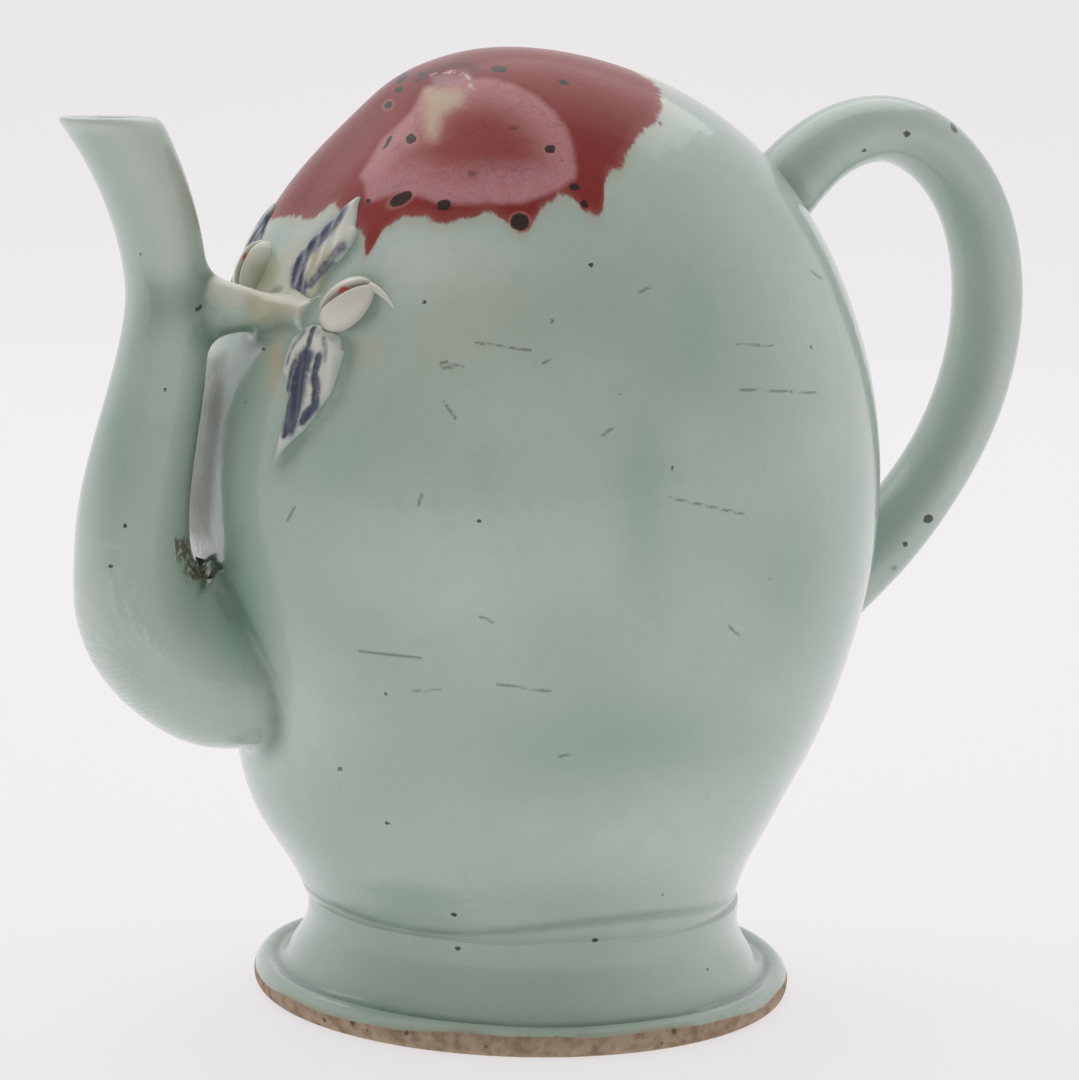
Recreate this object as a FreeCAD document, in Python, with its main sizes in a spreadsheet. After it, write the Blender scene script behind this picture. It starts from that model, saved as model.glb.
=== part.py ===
# Cadogan teapot: a closed, peach-shaped wine or tea pot that is filled through a hole in its base.
# Millimetres. The origin is the centre of the resting plane, +Z is up, the spout points to -X,
# the handle is at +X, and the front half of the pot lies at -Y.
import FreeCAD, Part
import Sketcher
import math
import os
from FreeCAD import Vector

doc = FreeCAD.newDocument("cadogan_teapot")


# Driving dimensions
SIZES = [
    ("body_height", 156.6, "top of the peach above the resting plane"),
    ("belly_radius", 56.6, "half length of the body at its widest"),
    ("belly_height", 86.0, "height of the widest section"),
    ("body_flatness", 0.95, "width of the belly over its length"),
    ("crown_fullness", 2.05, "exponent of the upper profile, 2 is an ellipse"),
    ("flank_ease", 40.0, "drop below the belly where the flank turns straight"),
    ("neck_radius", 35.9, "body radius where it sits on the foot"),
    ("neck_height", 16.2, "top of the foot ring"),
    ("pinch_depth", 0.9, "how far the flank is drawn in above the foot"),
    ("pinch_height", 23.0, "height of that pinch"),
    ("pinch_spread", 6.0, "how far above and below it fades"),
    ("wall", 4.0, "thickness of the pressed body"),
    ("neck_skirt", 3.0, "how far the body's form runs on below its neck before it is cut"),
    ("tip_lean", 5.5, "how far the top leans to the spout side"),
    ("belly_shift", 1.3, "how far the belly lies to the handle side"),
    ("belly_shift_spread", 28.0, "how far above and below the belly it fades"),
    ("flank_lean", 2.2, "how far the lower flank leans to the spout side"),
    ("flank_lean_height", 31.0, "height of that lean"),
    ("flank_lean_spread", 12.0, "how far above and below it fades"),
    ("cleft_depth", 2.8, "depth of the peach cleft on the spout side"),
    ("cleft_width", 13.0, "half width of the cleft"),
    ("cleft_fade", 17.0, "distance from the middle over which the cleft sets in"),
    ("cleft_start", 98.0, "height where the cleft begins"),
    ("cleft_full", 124.0, "height where the cleft is fully deep"),
    ("swell_depth", 3.8, "how far the belly swells to the spout side, beside the middle"),
    ("swell_drop", 1.0, "depth of that swell's middle below the belly's height"),
    ("swell_spread", 20.0, "how far above and below it fades"),
    ("tip_depth", 2.6, "how far the peach's tip stands out to the spout side"),
    ("tip_drop", 3.6, "depth of the tip's middle below the body's top"),
    ("tip_spread", 6.0, "how far above and below it fades"),
    ("foot_radius", 44.0, "outer radius of the resting ring"),
    ("rim_radius", 45.0, "widest radius of the foot rim"),
    ("rim_height", 2.7, "height of that widest radius"),
    ("lip_radius", 43.3, "radius of the rim's raised lip"),
    ("lip_height", 4.9, "top of the raised lip"),
    ("lip_round", 1.0, "rounding of the lip"),
    ("rim_round", 2.0, "rounding of the rim"),
    ("channel_radius", 40.6, "radius of the foot inside the lip"),
    ("channel_height", 4.5, "height of that channel"),
    ("flare_radius", 37.6, "radius where the foot begins to flare"),
    ("flare_height", 8.4, "height where the foot begins to flare"),
    ("waist_round", 6.0, "rounding of the foot's waist"),
    ("foot_waist_radius", 36.1, "smallest radius of the foot"),
    ("foot_waist_height", 12.6, "height of the smallest radius"),
    ("ring_width", 6.0, "width of the resting ring"),
    ("base_recess", 9.0, "height of the base's underside"),
    ("base_thickness", 4.0, "thickness of the base plate"),
    ("filler_bore_radius", 9.0, "radius of the filling hole"),
    ("filler_mouth_length", 12.0, "straight length of the filling hole"),
    ("filler_wall", 3.0, "thickness of the filler tube"),
    ("filler_top_radius", 5.5, "bore of the filler tube at its top"),
    ("filler_headroom", 26.0, "gap between the tube's top and the body's top"),
    ("spout_wall", 3.0, "thickness of the spout"),
    ("spout_root_height", 60.5, "height of the spout's root"),
    ("spout_root_half", 16.2, "half height of the spout's root"),
    ("spout_root_width", 12.0, "half width of the spout's root"),
    ("spout_root_run", 3.5, "how far the root runs straight out of the body"),
    ("spout_root_rise", 0.4, "how far it rises on that run"),
    ("elbow_reach", 9.0, "spout centre beyond the belly at its elbow"),
    ("elbow_height", 65.2, "height of the elbow"),
    ("elbow_half", 11.7, "half thickness at the elbow"),
    ("elbow_width", 11.0, "half width at the elbow"),
    ("bulb_reach", 12.7, "spout centre beyond the belly at its lower bend"),
    ("bulb_height", 75.0, "height of the lower bend"),
    ("bulb_half", 9.3, "half thickness at the lower bend"),
    ("bulb_width", 9.2, "half width at the lower bend"),
    ("shaft_reach", 11.8, "spout centre beyond the belly where its shaft begins"),
    ("shaft_height", 90.0, "height where the shaft begins"),
    ("shaft_half", 8.2, "half thickness there"),
    ("waist_reach", 7.8, "spout centre beyond the belly at its narrowest"),
    ("waist_height", 117.0, "height of the narrowest section"),
    ("waist_half", 6.4, "half thickness of the narrowest section"),
    ("mouth_reach", 17.75, "spout centre beyond the belly at its mouth"),
    ("mouth_height", 144.8, "height of the mouth"),
    ("mouth_half", 6.8, "half thickness at the mouth"),
    ("mouth_width", 7.0, "half width at the mouth"),
    ("mouth_overrun", 4.2, "how far the form leans out above the mouth before it is cut"),
    ("mouth_overrise", 5.6, "how far the form rises above the mouth before it is cut"),
    ("spout_port_radius", 6.0, "radius of the port through the body's wall"),
    ("handle_half", 5.6, "half thickness of the handle in its own plane"),
    ("handle_width", 7.6, "half width of the handle across"),
    ("handle_root_flare", 1.0, "extra half thickness of the handle at its roots"),
    ("handle_root_high", 129.0, "height of the upper root"),
    ("handle_root_low", 57.6, "height of the lower root"),
    ("root_sink", 5.0, "how far a root's path runs into the body before it is cut"),
    ("rise_reach", -5.2, "rise of the handle beyond the belly, less than nothing as it lies above it"),
    ("rise_height", 140.2, "height of the handle's centre line at its rise"),
    ("crest_reach", 7.0, "crest of the handle beyond the belly"),
    ("crest_height", 144.1, "height of the handle's centre line at its crest"),
    ("shoulder_reach", 20.6, "turn of the handle beyond the belly"),
    ("shoulder_height", 137.5, "height of that turn"),
    ("bow_reach", 29.2, "furthest centre line beyond the belly"),
    ("bow_height", 112.0, "height of the furthest point"),
    ("return_reach", 18.7, "handle beyond the belly on its way back"),
    ("return_height", 83.3, "height of that point"),
    ("branch_height", 115.2, "height of the branch between spout and body"),
    ("branch_half", 6.4, "half height of the branch at the spout"),
    ("branch_width", 4.8, "half width of the branch at the spout"),
    ("branch_run", 18.1, "distance around the body from the spout's side to the branch's tip"),
    ("twig_half", 2.4, "half thickness of the branch where it meets the body"),
    ("twig_tip_half", 1.4, "half thickness of the branch's tip"),
    ("twig_lift", 1.2, "how far the branch's middle stands off the body there"),
    ("leaf_rise", 1.9, "how far a leaf stands off the body"),
    ("leaf_seat", 0.15, "height of a leaf's middle line off the body"),
    ("upper_leaf_width", 10.3, "width of an upper leaf"),
    ("upper_leaf_foot", 1.8, "height of an upper leaf's foot above the branch"),
    ("upper_leaf_length", 16.6, "height of an upper leaf"),
    ("upper_leaf_run", 18.7, "distance around the body to an upper leaf's foot"),
    ("lower_leaf_width", 12.4, "width of a lower leaf"),
    ("lower_leaf_foot", 0.6, "depth of a lower leaf's foot below the branch"),
    ("lower_leaf_length", 21.6, "height of a lower leaf"),
    ("lower_leaf_run", 24.8, "distance around the body to a lower leaf's foot"),
    ("lower_leaf_bow", 2.9, "how far a lower leaf's middle swings out"),
    ("back_leaf_drop", 3.0, "how far the back's upper leaf sits below the front's"),
    ("bud_length", 9.6, "length of a bud"),
    ("bud_width", 6.8, "width of a bud"),
    ("bud_rise", 3.4, "height of a bud off the body"),
    ("bud_lift", 2.1, "height of the front bud's middle above the branch"),
    ("bud_run", 27.4, "distance around the body to the front bud"),
    ("bud_tilt", 62.0, "lean of the front bud from upright, in degrees"),
    ("back_bud_lift", 4.3, "height of the back bud's middle above the branch"),
    ("back_bud_run", 8.6, "distance around the body to the back bud"),
    ("back_bud_tilt", 12.0, "lean of the back bud from upright, in degrees"),
    ("tendril_start", 3.6, "distance from the bud's middle to the tendril's root"),
    ("tendril_lift", 2.2, "height of the tendril's root above the bud's middle"),
    ("tendril_radius", 0.8, "radius of a tendril at its root"),
    ("tendril_spread", 7.6, "how far a tendril runs on around the body"),
    ("tendril_drop", 2.4, "drop of a tendril from its root to its tip"),
]

sheet = doc.addObject("Spreadsheet::Sheet", "Sizes")
for row, (alias, value, note) in enumerate(SIZES, start=1):
    sheet.set("A%d" % row, alias)
    sheet.set("B%d" % row, str(value))
    sheet.set("C%d" % row, note)
    sheet.setAlias("B%d" % row, alias)
doc.recompute()


def size(alias):
    return float(sheet.get(alias))


# Body form
LEAN_POWER = 12
MIDDLE_SHARE = 0.5
BODY_POINTS = 32
FLANK_RINGS = 12
CROWN_ANGLES = [9, 18, 27, 36, 45, 54, 62, 69, 75, 80, 84, 88]
ANGLE_STEP = 0.01
HEIGHT_STEP = 0.1


def ease(low, high, value):
    share = min(max((value - low) / (high - low), 0.0), 1.0)
    return share * share * (3.0 - 2.0 * share)


def bump(centre, spread, value):
    """Bell curve, 1 at its centre."""
    return math.exp(-((value - centre) / spread) ** 2)


def crown_share(height, inset):
    """How far a height lies from the belly to the top, from 0 to 1."""
    top = size("body_height") - inset
    return (height - size("belly_height")) / (top - size("belly_height"))


def half_length(height, inset=0.0):
    """Half length of the body along X at a height. An inset gives the inner face of the wall."""
    belly = size("belly_radius") - inset
    drop = size("belly_height") - height
    if drop <= 0:
        share = min(crown_share(height, inset), 1.0)
        return belly * math.sqrt(max(1.0 - share ** size("crown_fullness"), 0.0))
    neck = size("neck_radius") - inset
    whole_drop = size("belly_height") - size("neck_height")
    flank_ease = size("flank_ease")
    neck_bend = math.sqrt(1.0 + (whole_drop / flank_ease) ** 2) - 1.0
    bend = math.sqrt(1.0 + (drop / flank_ease) ** 2) - 1.0
    pinch = size("pinch_depth") * bump(size("pinch_height"), size("pinch_spread"), height)
    return belly * math.sqrt(1.0 - (1.0 - (neck / belly) ** 2) * bend / neck_bend) - pinch


def section_centre(height):
    """X of a section's centre: the top and the lower flank lean to the spout side."""
    share = min(max(crown_share(height, 0.0), 0.0), 1.0)
    top_lean = size("tip_lean") * share ** LEAN_POWER
    flank_lean = size("flank_lean") * bump(size("flank_lean_height"), size("flank_lean_spread"), height)
    belly_shift = size("belly_shift") * bump(size("belly_height"), size("belly_shift_spread"), height)
    return belly_shift - top_lean - flank_lean


def body_point(height, angle, inset=0.0):
    """Point of the body's face. Angle 0 is at the handle, pi at the spout, -pi/2 at the front."""
    length = half_length(height, inset)
    flatness = 1.0 - (1.0 - size("body_flatness")) * ease(size("neck_height"), size("belly_height"), height)
    x = length * math.cos(angle)
    y = length * flatness * math.sin(angle)
    if x < 0:
        fade = ease(0.0, size("cleft_fade"), -x)
        middle = bump(0.0, size("cleft_width"), y)
        cleft = size("cleft_depth") * ease(size("cleft_start"), size("cleft_full"), height) * middle
        swell_height = size("belly_height") - size("swell_drop")
        swell = size("swell_depth") * bump(swell_height, size("swell_spread"), height)
        tip = size("tip_depth") * bump(size("body_height") - size("tip_drop"), size("tip_spread"), height)
        x += fade * (cleft - swell * (1.0 - MIDDLE_SHARE * middle) - tip)
    return Vector(section_centre(height) + x, y, height)


def body_normal(height, angle):
    """Outward direction of the body's face."""
    along = body_point(height, angle + ANGLE_STEP) - body_point(height, angle - ANGLE_STEP)
    up = body_point(height + HEIGHT_STEP, angle) - body_point(height - HEIGHT_STEP, angle)
    return along.cross(up).normalize()


def closed_curve(points):
    """Closed smooth edge through points, spread evenly in its parameter."""
    curve = Part.BSplineCurve()
    steps = [index / len(points) for index in range(len(points) + 1)]
    curve.interpolate(Points=points, Parameters=steps, PeriodicFlag=True)
    return Part.Wire(curve.toShape())


def body_loft(inset, lowest):
    """Solid of the whole peach, from a flat bottom to the top."""
    belly_height = size("belly_height")
    rise = size("body_height") - inset - belly_height
    heights = [lowest + (belly_height - lowest) * index / FLANK_RINGS for index in range(FLANK_RINGS + 1)]
    heights += [belly_height + rise * math.sin(math.radians(angle)) for angle in CROWN_ANGLES]
    rings = []
    for height in heights:
        ring = [body_point(height, 2 * math.pi * index / BODY_POINTS, inset) for index in range(BODY_POINTS)]
        rings.append(closed_curve(ring))
    top = belly_height + rise
    rings.append(Part.Vertex(section_centre(top), 0.0, top))
    return Part.makeLoft(rings, True, False)


def plain_object(kind, name, placement=None, **cells):
    """A Part primitive whose sizes follow the sheet."""
    made = doc.addObject(kind, name)
    for prop, formula in cells.items():
        made.setExpression(prop, formula)
    if placement:
        made.Placement = placement
    return made


def feature(name, shape):
    made = doc.addObject("Part::Feature", name)
    made.Shape = shape
    return made


def boolean(kind, name, base, tool):
    made = doc.addObject(kind, name)
    made.Base = base
    made.Tool = tool
    return made


def cut(name, base, *tools):
    """Takes each tool from the base in turn. The last cut gets the name."""
    for index, tool in enumerate(tools):
        last = index == len(tools) - 1
        base = boolean("Part::Cut", name if last else "%s_cut_%d" % (name, index), base, tool)
    return base


def overlap(name, base, tool):
    return boolean("Part::Common", name, base, tool)


def finish(made):
    """Keeps an object as one sub-part: its label names its file."""
    made.Label = made.Name
    parts.append(made)
    return made


# Sweeps with changing sections
def smooth_path(points):
    curve = Part.BSplineCurve()
    curve.interpolate(Points=points)
    return curve


# A piece that is parted later has its surface's seam in the parting plane, the others away from their edges
PARTED_SEAM = 0.0
WHOLE_SEAM = math.radians(54)

# Points around a tube's section, and sections along each tube
SECTION_POINTS = 20
SPOUT_RINGS = 20
HANDLE_RINGS = 22
BRANCH_RINGS = 14
TENDRIL_RINGS = 6


def section_ring(centre, along, reference, width, half, egg, seam):
    """Oval section across a path. Width runs along the reference direction. Egg widens one side."""
    side = (reference - along * reference.dot(along)).normalize()
    across = along.cross(side).normalize()
    points = []
    for index in range(SECTION_POINTS):
        angle = seam + 2 * math.pi * index / SECTION_POINTS
        stretch = 1.0 + egg * math.cos(angle)
        points.append(centre + across * (half * math.cos(angle)) + side * (width * math.sin(angle) * stretch))
    return closed_curve(points)


def smooth_value(knots, values, at):
    """Value at a place between knots, on a cubic whose slopes come from the neighbours."""
    last = len(knots) - 1
    slopes = []
    for index in range(last + 1):
        before = max(index - 1, 0)
        after = min(index + 1, last)
        slopes.append((values[after] - values[before]) / (knots[after] - knots[before]))
    start = max(index for index in range(last) if knots[index] <= at or index == 0)
    span = knots[start + 1] - knots[start]
    share = (at - knots[start]) / span
    rise = ease(0.0, 1.0, share)
    lead_in = share * (1.0 - share) ** 2 * slopes[start] * span
    lead_out = share ** 2 * (1.0 - share) * slopes[start + 1] * span
    return values[start] + (values[start + 1] - values[start]) * rise + lead_in - lead_out


def tube(path_points, sections, reference, count, seam):
    """Lofted tube along a smooth path. Each section is (width, half thickness, egg) at a path point."""
    path = smooth_path(path_points)
    knots = [path.parameter(point) for point in path_points]
    rings = []
    for index in range(count):
        at = knots[0] + (knots[-1] - knots[0]) * index / (count - 1)
        width, half, egg = [smooth_value(knots, values, at) for values in zip(*sections)]
        along = path.tangent(at)[0]
        rings.append(section_ring(path.value(at), along, reference, width, half, egg, seam))
    return Part.makeLoft(rings, True, False)


parts = []
ACROSS = Vector(0, 1, 0)
UP = Vector(0, 0, 1)

# Two half spaces share the plane in which every mould was parted
REACH = 400.0


def space(name, y, z):
    """Large box that starts at y and z and is centred along X."""
    block = doc.addObject("Part::Box", name)
    block.Length = REACH
    block.Width = REACH
    block.Height = REACH
    block.Placement.Base = Vector(-REACH / 2, y, z)
    return block


half_spaces = {
    "front": space("front_space", -REACH, -REACH / 2),
    "back": space("back_space", 0.0, -REACH / 2),
}


def halves(name, whole):
    """Parts a moulded piece in the plane of the spout and the handle."""
    for side, half_space in half_spaces.items():
        finish(overlap("%s_%s_half" % (name, side), whole, half_space))


# Spout: a tapering tube with a bulging elbow, cut level at its mouth
belly_radius = size("belly_radius")
root_height = size("spout_root_height")
root_face = half_length(root_height)
ROOT_EGG = 0.5
ELBOW_EGG = 0.35
BULB_EGG = 0.15


def spout_point(name):
    return Vector(-(belly_radius + size(name + "_reach")), 0, size(name + "_height"))


spout_path = [
    Vector(-(root_face - 2 * size("root_sink")), 0, root_height),
    Vector(-(root_face + size("spout_root_run")), 0, root_height + size("spout_root_rise")),
    spout_point("elbow"),
    spout_point("bulb"),
    spout_point("shaft"),
    spout_point("waist"),
    spout_point("mouth"),
    spout_point("mouth") + Vector(-size("mouth_overrun"), 0, size("mouth_overrise")),
]


def spout_sections(inset, port=None):
    """Width, half thickness and egg at each point of the spout's path."""
    root = (size("spout_root_width") - inset, size("spout_root_half") - inset, ROOT_EGG)
    if port:
        root = (port, port, 0.0)
    stations = [
        ("elbow_width", "elbow_half", ELBOW_EGG),
        ("bulb_width", "bulb_half", BULB_EGG),
        ("shaft_half", "shaft_half", 0.0),
        ("waist_half", "waist_half", 0.0),
        ("mouth_width", "mouth_half", 0.0),
        ("mouth_width", "mouth_half", 0.0),
    ]
    sections = [root, root]
    sections += [(size(width) - inset, size(half) - inset, egg) for width, half, egg in stations]
    return sections


def spout_centre(height):
    """Point of the spout's centre line at a height, above its lower bend."""
    path = smooth_path(spout_path)
    low = path.parameter(spout_point("bulb"))
    high = path.LastParameter
    for halving in range(30):
        middle = (low + high) / 2
        if path.value(middle).z < height:
            low = middle
        else:
            high = middle
    return path.value(low)


spout_solid = feature("spout_solid", tube(spout_path, spout_sections(0.0), ACROSS, SPOUT_RINGS, PARTED_SEAM))
channel_sections = spout_sections(size("spout_wall"), size("spout_port_radius"))
channel_tube = tube(spout_path, channel_sections, ACROSS, SPOUT_RINGS, PARTED_SEAM)
spout_channel = feature("spout_channel", channel_tube)


# Body: one peach, hollowed, then parted into its two pressed halves
below_neck = space("below_neck", -REACH / 2, -REACH)
below_neck.setExpression("Placement.Base.z", "Sizes.neck_height - %g" % REACH)
above_mouth = space("above_mouth", -REACH / 2, 0.0)
above_mouth.setExpression("Placement.Base.z", "Sizes.mouth_height")
skirt = size("neck_height") - size("neck_skirt")
body_form = feature("body_form", body_loft(0.0, skirt))
body_outer = cut("body_outer", body_form, below_neck)
body_inner = feature("body_inner", body_loft(size("wall"), skirt))
body_whole = cut("body_whole", body_outer, body_inner, spout_channel)
halves("body", body_whole)

spout_whole = cut("spout_whole", spout_solid, above_mouth, body_outer, spout_channel)
halves("spout", spout_whole)


# Handle: a flattened loop, pressed in two halves, with both ends on the body
def behind_face(height):
    """Start of a root's path, inside the body's back face."""
    return Vector(section_centre(height) + half_length(height) - size("root_sink"), 0, height)


def beyond_belly(name):
    return Vector(belly_radius + size(name + "_reach"), 0, size(name + "_height"))


handle_path = [
    behind_face(size("handle_root_high")),
    beyond_belly("rise"),
    beyond_belly("crest"),
    beyond_belly("shoulder"),
    beyond_belly("bow"),
    beyond_belly("return"),
    behind_face(size("handle_root_low")),
]
root_half = size("handle_half") + size("handle_root_flare")
handle_sections = [(size("handle_width"), size("handle_half"), 0.0) for point in handle_path]
handle_sections[0] = (size("handle_width"), root_half, 0.0)
handle_sections[-1] = handle_sections[0]
handle_solid = feature("handle_solid", tube(handle_path, handle_sections, ACROSS, HANDLE_RINGS, PARTED_SEAM))
handle_whole = cut("handle_whole", handle_solid, body_outer)
halves("handle", handle_whole)


# Revolved pieces: each sketch is a closed outline of (radius, height) formulas
def outline_sketch(body, name, outline):
    sketch = body.newObject("Sketcher::SketchObject", name)
    plane = [item for item in body.Origin.OriginFeatures if item.Role == "XZ_Plane"][0]
    sketch.AttachmentSupport = [(plane, "")]
    sketch.MapMode = "FlatFace"
    values = [[float(sheet.evalExpression(formula)) for formula in corner] for corner in outline]
    count = len(outline)
    for index in range(count):
        start = Vector(*values[index], 0)
        end = Vector(*values[(index + 1) % count], 0)
        sketch.addGeometry(Part.LineSegment(start, end), False)
    for index in range(count):
        sketch.addConstraint(Sketcher.Constraint("Coincident", index, 2, (index + 1) % count, 1))
    for index, (radius, height) in enumerate(outline):
        measures = (("DistanceX", radius, values[index][0]), ("DistanceY", height, values[index][1]))
        for kind, formula, value in measures:
            if value == 0:
                axis = -1 if kind == "DistanceY" else -2
                sketch.addConstraint(Sketcher.Constraint("PointOnObject", index, 1, axis))
                continue
            place = sketch.addConstraint(Sketcher.Constraint(kind, -1, 1, index, 1, value))
            sketch.setExpression("Constraints[%d]" % place, formula)
    return sketch


def revolved(name, outline, rounds=()):
    """Body turned about the upright axis. Rounds are (radius formula, height formula, fillet formula)."""
    body = doc.addObject("PartDesign::Body", name)
    sketch = outline_sketch(body, name + "_outline", outline)
    solid = body.newObject("PartDesign::Revolution", name + "_turned")
    solid.Profile = sketch
    solid.ReferenceAxis = (sketch, ["V_Axis"])
    solid.Angle = 360
    doc.recompute()
    for index, (radius, height, fillet) in enumerate(rounds):
        edge = circle_edge(solid.Shape, sheet.evalExpression(radius), sheet.evalExpression(height))
        rounded = body.newObject("PartDesign::Fillet", "%s_round_%d" % (name, index))
        rounded.Base = (solid, [edge])
        rounded.setExpression("Radius", fillet)
        solid = rounded
        doc.recompute()
    return finish(body)


def circle_edge(shape, radius, height):
    """Name of the circular edge at a radius and a height."""
    for index, edge in enumerate(shape.Edges, start=1):
        if not isinstance(edge.Curve, Part.Circle):
            continue
        if abs(edge.Curve.Radius - radius) < 0.01 and abs(edge.Curve.Center.z - height) < 0.01:
            return "Edge%d" % index
    raise ValueError("no circle of radius %.2f at height %.2f" % (radius, height))


SEAT = "Sizes.neck_radius - Sizes.wall"
PLATE_TOP = "Sizes.base_recess + Sizes.base_thickness"
TUBE_FOOT = "Sizes.filler_bore_radius + Sizes.filler_wall"
BORE_END = "Sizes.base_recess + Sizes.filler_mouth_length"
TUBE_TOP = "Sizes.body_height - Sizes.filler_headroom"

# Foot ring: a flared rim with a raised lip and a glaze channel behind it
foot_outline = [
    ("Sizes.foot_radius - Sizes.ring_width", "0"),
    ("Sizes.foot_radius", "0"),
    ("Sizes.rim_radius", "Sizes.rim_height"),
    ("Sizes.lip_radius", "Sizes.lip_height"),
    ("Sizes.channel_radius", "Sizes.channel_height"),
    ("Sizes.flare_radius", "Sizes.flare_height"),
    ("Sizes.foot_waist_radius", "Sizes.foot_waist_height"),
    ("Sizes.neck_radius", "Sizes.neck_height"),
    (SEAT, "Sizes.neck_height"),
    (SEAT, "Sizes.base_recess"),
]
foot_rounds = [
    ("Sizes.rim_radius", "Sizes.rim_height", "Sizes.rim_round"),
    ("Sizes.lip_radius", "Sizes.lip_height", "Sizes.lip_round"),
    ("Sizes.foot_waist_radius", "Sizes.foot_waist_height", "Sizes.waist_round"),
]
revolved("foot_ring", foot_outline, foot_rounds)

# Base plate: closes the body and holds the filler tube in its middle
plate_outline = [
    (TUBE_FOOT, "Sizes.base_recess"),
    (SEAT, "Sizes.base_recess"),
    (SEAT, PLATE_TOP),
    (TUBE_FOOT, PLATE_TOP),
]
revolved("base_plate", plate_outline)

# Filler tube: it rises nearly to the top, so that the upright pot doesn't run out
tube_outline = [
    ("Sizes.filler_bore_radius", "Sizes.base_recess"),
    (TUBE_FOOT, "Sizes.base_recess"),
    (TUBE_FOOT, BORE_END),
    ("Sizes.filler_top_radius + Sizes.filler_wall", TUBE_TOP),
    ("Sizes.filler_top_radius", TUBE_TOP),
    ("Sizes.filler_bore_radius", BORE_END),
]
revolved("filler_tube", tube_outline)


# Relief: a branch holds the spout to the body, and leaves and buds grow from it
def turned(run, height, side):
    """Angle on the body at a distance around it from the spout's side, to the front or the back."""
    turn = run / half_length(height)
    return math.pi + turn if side == "front" else math.pi - turn


branch_height = size("branch_height")
branch_path = [spout_centre(branch_height)]
branch_sections = [(size("branch_half"), size("branch_width"), 0.0)]
for share, lift, half in ((0.5, size("twig_lift"), size("twig_half")), (1.0, 0.0, size("twig_tip_half"))):
    angle = turned(size("branch_run") * share, branch_height, "front")
    branch_path.append(body_point(branch_height, angle) + body_normal(branch_height, angle) * lift)
    branch_sections.append((half, half, 0.0))
branch_solid = feature("branch_solid", tube(branch_path, branch_sections, UP, BRANCH_RINGS, WHOLE_SEAM))
finish(cut("branch", branch_solid, body_outer, spout_solid))

# A leaf's width at shares of its length
LEAF_SHAPE = [(0.0, 0.12), (0.15, 0.62), (0.4, 1.0), (0.65, 0.82), (0.88, 0.34), (1.0, 0.06)]
LEAF_STEP = 0.05
LEAF_EDGE_RISE = 0.35


def leaf(kind, side, foot, length, bow):
    """Lens-shaped leaf that lies on the body. It runs from its foot, upward or down, to its tip."""
    name = "%s_leaf_%s" % (kind, side)
    width = size(kind + "_leaf_width")
    run = size(kind + "_leaf_run")

    def midline(share):
        height = foot + length * share
        return height, turned(run + bow * math.sin(math.pi * share), height, side)

    rings = []
    for share, fullness in LEAF_SHAPE:
        outward = body_normal(*midline(share))
        centre = body_point(*midline(share)) + outward * size("leaf_seat")
        along = (body_point(*midline(share + LEAF_STEP)) - body_point(*midline(share))).normalize()
        rise = size("leaf_rise") * (LEAF_EDGE_RISE + (1.0 - LEAF_EDGE_RISE) * fullness)
        rings.append(section_ring(centre, along, outward, rise, width / 2 * fullness, 0.0, WHOLE_SEAM))
    solid = feature(name + "_solid", Part.makeLoft(rings, True, False))
    finish(cut(name, solid, body_outer))


upper_foot = branch_height + size("upper_leaf_foot")
lower_foot = branch_height - size("lower_leaf_foot")
leaf("upper", "front", upper_foot, size("upper_leaf_length"), 0.0)
leaf("lower", "front", lower_foot, -size("lower_leaf_length"), size("lower_leaf_bow"))
leaf("upper", "back", upper_foot - size("back_leaf_drop"), size("upper_leaf_length"), 0.0)
leaf("lower", "back", lower_foot, -size("lower_leaf_length"), size("lower_leaf_bow"))


def bud(side, height, run, tilt):
    """Almond-shaped bud, half sunk in slip: an ellipsoid less the body."""
    angle = turned(run, height, side)
    outward = body_normal(height, angle)
    upright = (UP - outward * UP.dot(outward)).normalize()
    level = upright.cross(outward)
    lean = math.radians(tilt)
    along = upright * math.cos(lean) - level * math.sin(lean)
    rotation = FreeCAD.Rotation(along, outward.cross(along), outward, "ZXY")
    placement = FreeCAD.Placement(body_point(height, angle), rotation)
    whole = plain_object(
        "Part::Ellipsoid",
        "bud_%s_solid" % side,
        placement,
        Radius1="Sizes.bud_rise",
        Radius2="Sizes.bud_length / 2",
        Radius3="Sizes.bud_width / 2",
    )
    finish(cut("bud_" + side, whole, body_outer))


bud_height = branch_height + size("bud_lift")
bud("front", bud_height, size("bud_run"), size("bud_tilt"))
bud("back", branch_height + size("back_bud_lift"), size("back_bud_run"), size("back_bud_tilt"))

TENDRIL_SHAPE = [(0.0, 1.0), (0.5, 0.8), (1.0, 0.35)]


def tendril(side):
    """Thin curl of clay that runs on from a bud, around the body and down."""
    start = size("bud_run") + size("tendril_start")
    root = bud_height + size("tendril_lift")
    path = []
    sections = []
    for share, fullness in TENDRIL_SHAPE:
        height = root - size("tendril_drop") * share ** 2
        run = start + size("tendril_spread") * share
        path.append(body_point(height, turned(run, height, side)))
        radius = size("tendril_radius") * fullness
        sections.append((radius, radius, 0.0))
    solid = feature("tendril_%s_solid" % side, tube(path, sections, UP, TENDRIL_RINGS, WHOLE_SEAM))
    finish(cut("tendril_" + side, solid, body_outer))


tendril("front")
tendril("back")

doc.recompute()
for made in doc.Objects:
    if "Invalid" in made.State or "Error" in made.State:
        raise ValueError("%s did not build: %s" % (made.Name, made.State))
for part in parts:
    if part.Shape.isNull() or not part.Shape.isValid() or not part.Shape.Solids:
        raise ValueError("%s has no sound solid" % part.Label)

os.makedirs("parts", exist_ok=True)
for part in parts:
    part.Shape.exportStep("parts/%s.step" % part.Label)
    print("%-18s %8.0f mm3, %d solid" % (part.Label, part.Shape.Volume, len(part.Shape.Solids)))
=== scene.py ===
import bpy
import math
import numpy as np
from mathutils import Matrix, Vector


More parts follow.
